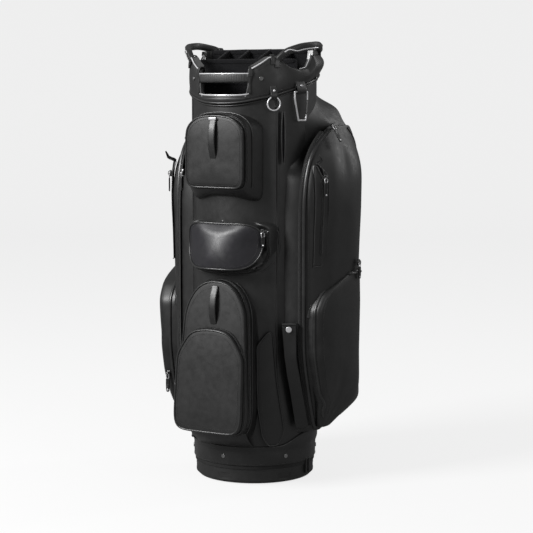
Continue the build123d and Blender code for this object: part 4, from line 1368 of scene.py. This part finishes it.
def slit_pocket(plane, name, side):
    """Sewn-on pocket along the lid's front edge with a gaping slit and a concealed zip."""
    node = "slit_pocket_right"
    body = "slit_pocket_" + name
    lid_body = "garment_lid_" + name
    low, high = box(node)
    rows = []
    for z in np.linspace(low[2] + 1.5, high[2] - 1.5, 50):
        hits = [hit(node, (280, y, z), (-1, 0, 0)) for y in np.arange(low[1] - 1, high[1] + 1, 0.75)]
        hits = [h for h in hits if h is not None]
        if len(hits) < 3:
            continue
        ys = np.linspace(hits[0][1], hits[-1][1], 9)
        rows.append([hit(node, (280, y, z), (-1, 0, 0)) for y in ys])
    rows = [[p if p is not None else row[4] for p in row] for row in rows]
    grid = soften(np.array(rows), 2)
    grid = grid + plane.out * 0.5
    piece(f"slit_pocket_skin_{name}", sheet(mirrored(grid, side), 2.2, inside=(150 * side, 30, 500)), "side",
          lid_body, body)
    hem = np.concatenate([grid[::-1, -1], grid[0, ::-1]])
    facing = unit(plane.out - plane.along * 0.35) * np.array((side, 1, 1))
    piece(f"slit_pocket_thread_{name}",
          stitches(mirrored(grid[3:-3, -1] - plane.along * 2.4 + plane.out * 0.9, side), facing), "thread",
          lid_body,
          smooth=0)
    piece(f"slit_pocket_hem_{name}", cord(mirrored(soften(hem, 2), side), 1.1), "piping", lid_body, smooth=0)
    spot = joint("slit_pull_right")[0]
    track = []
    for z in np.linspace(spot[2] - 3, spot[2] - 152, 50):
        place = hit(node, (280, spot[1], z), (-1, 0, 0))
        track.append((place if place is not None else track[-1]) + plane.out * 1.0)
    zip_run(f"slit_zip_{name}", mirrored(soften(track, 3), side), facing, lid_body, tape=7.0)
    mouth(plane, name, side, spot, node, lid_body)


def mouth(plane, name, side, spot, node, body):
    """Painted shadow of the gaping slit above the slit pocket's zip: a dark lining sheet laid over the lid
    between two bound lips.
    """
    lid = ("garment_lid_right", node)
    ys = np.array((-19.5, -15.5, -9.5, -3.0, 0.4, 0.8))
    rise = np.array((46, 41, 34, 22, 10, -2.0))
    widths = np.array((0.6, 4.0, 7.0, 8.4, 7.0, 2.0))
    stations = [np.array((0, spot[1] + y, spot[2] + r)) for y, r in zip(ys, rise)]
    line = curve(stations, 3.0)
    width = np.interp(np.linspace(0, 1, len(line)), np.linspace(0, 1, len(widths)), widths)
    flow = tangents(line)
    across = unit(np.cross(flow, (1.0, 0, 0)))
    grid = []
    for p, a, w in zip(line, across, width):
        row = []
        for t in np.linspace(-0.5, 0.5, 7):
            q = p + a * w * t
            place = hit(lid, (280, q[1], q[2]), (-1, 0, 0))
            place = np.array((spot[0] - 6, q[1], q[2])) if place is None else place
            row.append(place + plane.out * (1.3 - 0.5 * math.cos(t * math.pi)))
        grid.append(row)
    grid = soften(np.array(grid), 1)
    # No gap is cut here: this near-black lining sheet lying on the lid is painted shadow of the gaping slit.
    piece(f"slit_mouth_shadow_{name}", sheet(mirrored(grid, side), 0.8, inside=(150 * side, 30, 500)), "lining",
          body)
    lips = [cord(mirrored(grid[:, k] + plane.out * 0.4, side), 1.3) for k in (0, -1)]
    piece(f"slit_lips_{name}", lips, "piping", body, smooth=0)


MOUTH_START = 0.72              # height share where the slanting mouth begins


def side_pocket(plane, name, side):
    """Lower pouch standing on the lid, with a slanting zipped mouth."""
    node = "side_pocket_" + name
    body = "garment_lid_" + name
    low, high = box(node)
    own = SidePlane(side)
    rows = [own.proud(node, z, 44) for z in np.linspace(low[2] + 1.5, high[2] - 1.5, 60)]
    grid = mirrored([row for row in rows if row is not None], side)
    grid = soften(grid, 4)
    grid = np.swapaxes(soften(np.swapaxes(grid, 0, 1), 2), 0, 1)
    grid = puffed(grid, pressure=2.2, cap=4.0, inside=(150, 30, 260))
    inside = (150 * side, 30, 260)
    piece(f"side_pocket_skin_{name}", sheet(mirrored(grid, side), 2.4, inside=inside), "side", body, node)
    edge = 6
    rim = curve(np.concatenate([grid[4:-2, edge], grid[-2, edge:-edge]]), 3.5, rounds=1)
    rim = rim + plane.out * 0.6
    piece(f"side_pocket_piping_{name}", sweep(mirrored(rim, side), rounded(6.4, 5.6, 2.4)), "piping", body)
    start = int(MOUTH_START * len(grid))
    track = soften(np.concatenate([grid[start:-2, 3], grid[-2, 3:-8]]), 3)
    facing = unit(plane.out * 0.3 - plane.along * 0.55 + UP * 0.8)
    lift = facing * 1.2
    zip_run(f"side_pocket_zip_{name}", mirrored(track + lift, side), mirrored(facing, side), body, tape=9.0)
    rear = mirrored(grid[3:-1, -5] + plane.along * 0.5, side)
    piece(f"side_pocket_rear_piping_{name}", cord(rear, 1.8), "piping", body, smooth=0)
    seam = soften(grid[:, edge + 4], 3)[4:-3]
    flow = unit(plane.out * 0.8 - plane.along * 0.6) * np.array((side, 1, 1))
    piece(f"side_pocket_thread_{name}", stitches(mirrored(seam, side) + flow * 0.5, flow), "thread", body,
          smooth=0)


# ---- sewn-on parts of the tube ------------------------------------------------------------------
def polar_patch(node, heights, first, last, columns, inset=0.4):
    """The outer surface of a node on the tube, as rows of heights by columns of angles."""
    rows = []
    step = 0.5 if last > first else -0.5
    for z in heights:
        angles = [a for a in np.arange(first, last, step)
                  if outermost(node, (0, 0, z), outward(a), 260) is not None]
        if len(angles) < 3:
            continue
        ends = angles[0] + inset * np.sign(step), angles[-1] - inset * np.sign(step)
        row = []
        for a in np.linspace(*ends, columns):
            place = outermost(node, (0, 0, z), outward(a), 260)
            row.append(row[-1] if place is None else place)
        rows.append(row)
    return np.array(rows)


def strap_guards():
    """Wings over the cart strap channel, bound with a lighter edge."""
    low, high = box("strap_guards")
    heights = np.linspace(low[2] + 1.2, high[2] - 1.2, 60)
    grid = soften(polar_patch("strap_guards", heights, 12, 80, 14), 3)
    across, along = (np.sin(np.linspace(0, math.pi, count)) for count in (14, len(grid)))
    crown = across[None, :, None] * along[:, None, None]
    grid = grid + radial(grid.reshape(-1, 3)).reshape(grid.shape) * (0.6 + 1.2 * crown)
    skins, edges, threads = [], [], []
    for side in (1, -1):
        skin = mirrored(grid, side)
        skins.append(sheet(skin, 3.2, inside=(0, 0, 200)))
        border = np.concatenate([skin[:, 0], skin[-1, 1:], skin[::-1, -1], skin[0, ::-1]])
        border = soften(resample(border, 3, True), 3, True)
        edges.append(cord(border, 1.7, True))
        inner = soften(skin[3:-3, 2], 3)
        threads.append(stitches(inner + radial(inner) * 0.5, radial(inner)))
    piece("strap_guard_wings", skins, "side", stands_for="strap_guards")
    piece("strap_guard_binding", edges, "piping", smooth=0)
    piece("strap_guard_thread", threads, "thread", smooth=0)


def umbrella():
    """Umbrella sleeve low on the right gusset, and the welted slot for its shaft above, whose opening is
    painted shadow: a dark lining sheet laid on the gusset.
    """
    node = "umbrella_sleeve"
    low, high = box(node)
    heights = np.linspace(low[2] + 1.5, high[2] - 1.5, 40)
    grid = soften(polar_patch(node, heights, 44, 88, 18), 3)
    sleeve = sheet(grid, 2.2, inside=(90, -40, 200))
    piece("umbrella_sleeve_skin", sleeve, "side", stands_for=node)
    piece("umbrella_sleeve_rim", cord(soften(grid[-1], 2), 2.0), "piping", smooth=0)
    hem = soften(grid[-1], 2) - UP * 7
    piece("umbrella_sleeve_thread", stitches(hem + radial(hem) * 0.4, radial(hem)), "thread", smooth=0)
    centre = np.array((110.5, -75.6, 0.0))
    facing = unit(np.array((0.46, -0.89, 0.0)))
    across = np.cross(UP, facing)
    heights = np.linspace(645, 748, 30)
    width = 7.5 * np.sin(np.linspace(0.05, 0.95, 30) * math.pi) ** 0.5
    rows = []
    for z, w in zip(heights, width):
        row = []
        for t in np.linspace(-0.5, 0.5, 6):
            start = centre + across * w * t + facing * 60 + UP * z
            place = hit("garment_pocket_right", start, -facing, 90)
            row.append((start - facing * 60 if place is None else place) + facing * 2.0)
        rows.append(row)
    grid = np.array(rows)
    flat = (grid[..., :2] @ facing[:2]).mean(axis=1)
    for row in grid:
        row += facing * (np.median(flat) - row @ facing)[:, None]
    # No opening is cut: this near-black lining sheet on the gusset is painted shadow of the slot.
    piece("umbrella_slot", sheet(grid, 0.8, inside=(0, 0, 700)), "lining", smooth=0)
    lips = [cord(soften(grid[:, k] + facing * 0.6, 3), 1.7) for k in (0, -1)]
    piece("umbrella_slot_welts", lips, "piping", smooth=0)


def spine():
    """Quilted air-mesh pad down the back, with its grab handle and the shoulder strap."""
    low, high = box("spine_pad")
    half = math.degrees(math.asin(high[0] / (COVER_R + 6)))
    angles = np.linspace(180 - half, 180 + half, 40)
    heights = np.linspace(low[2] + 1, high[2] - 1, 110)
    thick = high[1] - COVER_R
    grid = np.zeros((len(heights), len(angles), 3))
    for i, z in enumerate(heights):
        for j, a in enumerate(angles):
            off = abs(a - 180)
            rim = min(smoothstep(half - off, 0, 4), smoothstep(z - low[2], 0, 14),
                      smoothstep(high[2] - z, 0, 14))
            channel = 1 - 0.85 * math.exp(-(off / 2.2) ** 2)
            quilt = 1 - 0.4 * math.exp(-(((z - low[2]) % 107 - 53.5) / 3.5) ** 2)
            grid[i, j] = around(a, COVER_R + 0.6 + (thick - 2.5) * rim * channel * quilt, z)
    grid = puffed(grid, pressure=1.5, cap=1.5)
    piece("spine_pad_mesh", sheet(grid, 2.0, inside=(0, 0, 430)), "padding", stands_for="spine_pad", smooth=0)
    border = np.concatenate([grid[:, 0], grid[-1, 1:], grid[::-1, -1], grid[0, ::-1]])
    border = soften(resample(border, 4, True), 2, True)
    piece("spine_pad_piping", cord(border + radial(border) * 0.8, 2.0, True), "piping", smooth=0)
    rear_handle()
    shoulder_strap()


def rear_handle():
    low, high = box("rear_handle")
    base = COVER_R + 12
    middle = (low[2] + high[2]) / 2
    stations = ((base + 1, high[2] - 2), (base + 2.4, high[2] - 16), (base + 7, high[2] - 26),
                (high[1] - 3.4, middle + 16), (high[1] - 3.2, middle - 16), (base + 7, low[2] + 26),
                (base + 2.4, low[2] + 16), (base + 1, low[2] + 2))
    path = curve([(0, y, z) for y, z in stations], 3)
    normal = unit(np.cross((1.0, 0, 0), tangents(path)))
    normal *= np.sign(normal[:, 1:2])
    swell = 1 + 0.35 * np.sin(np.linspace(0, math.pi, len(path))) ** 2
    piece("rear_handle_grip", sweep(path, rounded(24, 5.0, 4), normal, scale=swell), "leather",
          stands_for="rear_handle")
    threads = [stitches(path + np.array((x, 0, 0)) * swell[:, None] + normal * 2.5 * swell[:, None], normal)
               for x in (-9, 9)]
    for z in (high[2] - 8, low[2] + 8):
        tack = np.array([(x, base + 4.2, z) for x in np.linspace(-9, 9, 12)])
        threads.append(stitches(tack, (0, 1.0, 0)))
    piece("rear_handle_thread", threads, "thread", smooth=0)


def shoulder_strap():
    """Webbing strap with a padded sleeve, hung from two D-rings in leather keepers."""
    low, high = box("shoulder_strap")
    middle = binned("shoulder_strap", np.linspace(low[2] + 8, high[2] - 8, 12), lambda p: p[2], 22)
    middle = np.concatenate([[middle[0] - UP * 6], middle, [middle[-1] + UP * 6]])
    path = curve(middle, 5)
    normal = unit(np.cross((1.0, 0, 0), tangents(path)))
    normal *= np.sign(normal[:, 1:2])
    piece("shoulder_webbing", sweep(path, rounded(34, 2.6, 6), normal), "tape", stands_for="shoulder_strap")
    threads = [stitches(path + np.array((x, 0, 0)) + normal * 1.4, normal) for x in (-13, 13)]
    pad_low, pad_high = box("strap_pad")
    part = path[(path[:, 2] > pad_low[2] + 2) & (path[:, 2] < pad_high[2] - 2)]
    out = unit(np.cross((1.0, 0, 0), tangents(part)))
    out *= np.sign(out[:, 1:2])
    part = resample(part, 3)
    out = spread(out, len(part))
    ring = rounded(56, 11, 3, 32)
    ends = np.minimum(1, np.sin(np.linspace(0.02, 0.98, len(part)) * math.pi) ** 0.25 + 0.05)
    ribs = 1 - 0.10 * np.exp(-(((np.arange(len(part)) * 3.0) % 42 - 21) / 2.6) ** 2)
    pad_points, pad_faces = sweep(part, ring, out, scale=ends * ribs)
    count = len(part) * 32
    grid = pad_points[:count].reshape(len(part), 32, 3)
    grid = puffed(grid, closed=True, pressure=1.8, cap=1.6, inside=part.mean(0))
    piece("strap_pad_cushion", (grid.reshape(-1, 3), pad_faces), "padding", stands_for="strap_pad")
    for x in (-20, 20):
        line = part[4:-4] + np.array((x, 0, 0)) + out[4:-4] * 5.0
        threads.append(stitches(line, out[4:-4]))
    piece("shoulder_thread", threads, "thread", smooth=0)
    keepers = []
    for ring_low, ring_high in islands("strap_rings"):
        x, y, z = (ring_low + ring_high) / 2
        up = 1 if z > 450 else -1
        profile = ((y - 14, 24), (y - 8, 18), (y + 2, 10), (y + 4.5, 7), (y - 3.4, 6), (y - 12, 14),
                   (y - 15, 20))
        loop = curve([(x, py, z + up * pz) for py, pz in profile], 2.5)
        keepers.append(sweep(loop, rounded(16, 2.2, 5), unit(np.cross((1.0, 0, 0), tangents(loop)))))
    piece("strap_ring_keepers", keepers, "leather")


def hanging_tabs():
    """Folded straps with a riveted pin for the accessory ring and the towel clip."""
    straps, rivets = [], []
    for low, high in islands("hanging_tabs"):
        middle = (low + high) / 2
        angle = compass(middle)
        radius = math.hypot(middle[0], middle[1])
        width = (12, 25)[angle > 60]
        pin = low[2] + 4.6
        profile = ((radius - 4.6, high[2] + 8), (radius - 2.2, high[2]), (radius + 2.8, pin + 7),
                   (radius + 3.8, pin), (radius, pin - 3.6), (radius - 3.7, pin), (radius - 3.4, pin + 8),
                   (radius - 4.4, high[2] + 2))
        path = curve([around(angle, r, z) for r, z in profile], 1.8)
        across = np.cross(UP, outward(angle))
        straps.append(sweep(path, rounded(width, 1.8, 5), unit(np.cross(tangents(path), across))))
        disc = circle(2.6, 16)
        place = around(angle, radius + 1.6, high[2] - 2.6)
        rivets.append(slab(place, across, UP, outward(angle), disc,
                           ((-2, 1), (0.8, 1), (1.5, 0.75), (1.8, 0.35))))
    piece("hanging_straps", straps, "leather", stands_for="hanging_tabs")
    piece("hanging_rivets", rivets, "metal")


# ---- zip hardware -------------------------------------------------------------------------------
class Hardware:
    """Axes of a slider and its pull, read from the pull's joint and the way its CAD node hangs."""

    def __init__(self, name):
        self.name = name
        place, axis = joint(name)
        points = np.array([v.co for v in NODES[name].data.vertices]) / MM
        self.up = unit(place - points.mean(0))
        self.x = unit(axis)
        self.out = unit(np.cross(self.x, self.up))
        if np.dot(self.out, place * (1, 1, 0)) < 0:
            self.out, self.x = -self.out, -self.x
        self.bail = place
        self.length = -((points - place) @ self.up).min() - 8

    def at(self, x, y, height):
        """A point from slider coordinates: across, up the zip, and away from the cloth."""
        return self.bail + self.x * x + self.up * y + self.out * (height - 3.0)

    def slider(self):
        turn = np.linspace(0, 2 * math.pi, 28, endpoint=False)
        shape = rounded(8.6, 13.4, 3.2, 28)
        shape[:, 0] *= 1 - 0.16 * np.cos(turn - math.pi / 2)
        base = self.at(0, 0, 0)
        profile = ((-1.7, 0.9), (-1.3, 1.0), (-0.3, 1.0), (-0.1, 0.93), (0.3, 0.93), (0.5, 1.0), (1.3, 1.0),
                   (1.7, 0.88))
        body = slab(base, self.x, self.up, self.out, shape, profile)
        bridge = curve([self.at(0, y, h) for y, h in ((-4.6, 1.2), (-4.4, 3.8), (-2, 5.3), (2.4, 5.3),
                                                      (4.6, 3.6),
                                                      (5, 1.2))], 0.8)
        return [body, sweep(bridge, rounded(2.6, 1.5, 4, 12), unit(np.cross(tangents(bridge), self.x)))]

    def wire(self):
        corners = [self.at(x, y, 3.2) for x, y in ((-3.4, 0), (3.4, 0), (3.2, -9.5), (-3.2, -9.5))]
        return cord(curve(corners, 1.2, True, 2), 0.85, True)

    def tab(self):
        shape = rounded(8.4, self.length, 5, 32)
        taper = 1 - 0.16 * (shape[:, 1] < 0) * np.abs(shape[:, 1]) / (self.length / 2)
        shape[:, 0] *= taper
        centre = self.at(0, -8 - self.length / 2, 3.0)
        rim = slab(centre, self.x, self.up, self.out, shape,
                   ((-1.4, 0.84), (-1.1, 0.96), (0, 1.0), (1.1, 0.96), (1.4, 0.84), (1.1, 0.72), (1.0, 0.4)))
        ribs = []
        for y in (-4, -1.5, 1):
            bar = [centre + self.x * x + self.up * y + self.out * 1.2 for x in np.linspace(-2.4, 2.4, 6)]
            ribs.append(cord(bar, 0.55))
        return [rim] + ribs

    def rivet(self):
        centre = self.at(0, -8 - self.length + 4.6, 3.0)
        return slab(centre, self.x, self.up, self.out, circle(2.1, 16),
                    ((-1.8, 1), (1.5, 1), (2.0, 0.7), (2.2, 0.3)))

    def build(self, slider_body, slider_node):
        name = self.name
        piece(name + "_slider", self.slider(), "gunmetal", slider_body, slider_node, 0, 30)
        piece(name + "_bail", self.wire(), "metal", name, smooth=0)
        piece(name + "_tab", self.tab(), "pull", name, name)
        piece(name + "_rivet", self.rivet(), "metal", name)


def zip_hardware():
    Hardware("valuables_pull").build("valuables_slider", "valuables_slider")
    Hardware("ball_pull").build("ball_slider", "ball_slider")
    Hardware("rangefinder_pull").build("rangefinder_flap", "rangefinder_slider")
    for name in SIDES:
        Hardware("slit_pull_" + name).build("slit_slider_" + name, "slit_slider_" + name)
        Hardware("garment_pull_" + name).build("garment_lid_" + name, "fixed_sliders_" + name)
        Hardware("side_pull_" + name).build("garment_lid_" + name, ())


# ---- finish -------------------------------------------------------------------------------------
def kept_nodes():
    looks = {
        "base_cup": "base", "base_feet": "rubber", "screws": "steel", "bottom_pad": "felt",
        "body_board": "board", "stay_rods": "stay", "top_frame": "plastic", "divider_grid": "lining",
        "sleeve_snap": "metal", "accessory_ring": "metal", "towel_clip": "metal", "clip_gate": "gunmetal",
        "strap_rings": "metal",
    }
    for node, look in looks.items():
        repaint(node, look)


def area_light(name, place, target, size, power, colour=(1, 1, 1)):
    data = bpy.data.lights.new(name, "AREA")
    data.shape = "RECTANGLE"
    data.size, data.size_y = size
    data.energy = power
    data.color = colour
    lamp = bpy.data.objects.new(name, data)
    lamp.location = place
    lamp.rotation_euler = (Vector(target) - Vector(place)).to_track_quat("-Z", "Y").to_euler()
    bpy.context.scene.collection.objects.link(lamp)


def floor_look():
    """Matt white paper, lit mostly by its own glow so that the backdrop stays even."""
    material = bpy.data.materials.new("paper")
    material.use_nodes = True
    tree = material.node_tree
    paper = tree.nodes["Principled BSDF"]
    paper.inputs["Base Color"].default_value = (0.8, 0.8, 0.8, 1)
    paper.inputs["Roughness"].default_value = 1.0
    paper.inputs["Specular IOR Level"].default_value = 0.0
    glow = tree.nodes.new("ShaderNodeEmission")
    seen = tree.nodes.new("ShaderNodeLightPath")
    power = tree.nodes.new("ShaderNodeMapRange")
    power.inputs["To Min"].default_value = BOUNCE
    power.inputs["To Max"].default_value = BACKDROP
    tree.links.new(seen.outputs["Is Camera Ray"], power.inputs["Value"])
    tree.links.new(power.outputs["Result"], glow.inputs["Strength"])
    mix = tree.nodes.new("ShaderNodeMixShader")
    mix.inputs["Fac"].default_value = GLOW_SHARE
    tree.links.new(paper.outputs["BSDF"], mix.inputs[1])
    tree.links.new(glow.outputs["Emission"], mix.inputs[2])
    tree.links.new(mix.outputs["Shader"], tree.nodes["Material Output"].inputs["Surface"])
    return material


BACKDROP = 0.98                 # glow of the paper as the camera sees it
BOUNCE = 0.12                   # and as the bag sees it
GLOW_SHARE = 0.82
SKY = 0.30                      # strength of the world as it lights the bag
SKY_SEEN = 0.89                 # and as the camera sees it beyond the backdrop


def studio():
    """Seamless pale backdrop, broad soft key from the front left, weaker fill and a rim light."""
    reach, rise, bend = 7.0, 5.0, 1.6
    profile = [(-reach, 0.0), (reach - bend, 0.0)]
    profile += [(reach - bend + bend * math.sin(a), bend - bend * math.cos(a)) for a in
                np.linspace(0.1, math.pi / 2, 12)]
    profile.append((reach, rise))
    mesh = bpy.data.meshes.new("backdrop")
    points = [(x, y, z) for y, z in profile for x in (-reach, reach)]
    faces = [(2 * i, 2 * i + 1, 2 * i + 3, 2 * i + 2) for i in range(len(profile) - 1)]
    mesh.from_pydata(points, [], faces)
    mesh.shade_smooth()
    mesh.materials.append(floor_look())
    backdrop = bpy.data.objects.new("backdrop", mesh)
    backdrop.rotation_euler = (0, 0, math.radians(30))
    bpy.context.scene.collection.objects.link(backdrop)
    world = bpy.data.worlds.new("studio")
    world.use_nodes = True
    world.node_tree.nodes["Background"].inputs["Color"].default_value = (1, 1, 1, 1)
    tree = world.node_tree
    seen = tree.nodes.new("ShaderNodeLightPath")
    power = tree.nodes.new("ShaderNodeMapRange")
    power.inputs["To Min"].default_value = SKY
    power.inputs["To Max"].default_value = SKY_SEEN
    tree.links.new(seen.outputs["Is Camera Ray"], power.inputs["Value"])
    tree.links.new(power.outputs["Result"], tree.nodes["Background"].inputs["Strength"])
    bpy.context.scene.world = world
    area_light("key", (-1.5, -2.5, 2.3), (0, 0, 0.5), (1.2, 1.4), 150)
    area_light("fill", (2.7, -0.9, 1.5), (0, 0, 0.5), (0.5, 1.8), 9)
    area_light("rim", (1.5, 2.1, 1.9), (0, 0, 0.6), (0.35, 1.6), 12)
    bpy.context.scene.view_settings.view_transform = "Standard"


LENS = 112.5                    # millimetres
CAMERA_TURN = 30                # degrees to the right of the front
CAMERA_DISTANCE = 3.4           # metres, like the two below
CAMERA_SHIFT = 0.0242
CAMERA_HEIGHT = 0.807
CAMERA_PITCH = 83.65            # degrees, 90 looks level


def camera():
    """Eye level with the top of the bag, thirty degrees to the right of its front."""
    data = bpy.data.cameras.new("camera")
    data.lens = LENS
    item = bpy.data.objects.new("camera", data)
    turn = math.radians(CAMERA_TURN)
    right = Vector((math.cos(turn), math.sin(turn), 0))
    back = Vector((math.sin(turn), -math.cos(turn), 0))
    item.location = back * CAMERA_DISTANCE + right * CAMERA_SHIFT + Vector((0, 0, CAMERA_HEIGHT))
    item.rotation_euler = (math.radians(CAMERA_PITCH), 0, turn)
    bpy.context.scene.collection.objects.link(item)
    bpy.context.scene.camera = item


def build():
    make_looks()
    kept_nodes()
    body_cover()
    collar()
    front_opening()
    front_grip()
    side_handles()
    rim_trim()
    skirt()
    dividers()
    valuables()
    ball_pocket()
    rangefinder()
    garment_sides(SidePlane())
    strap_guards()
    umbrella()
    spine()
    hanging_tabs()
    zip_hardware()
    studio()
    camera()


build()
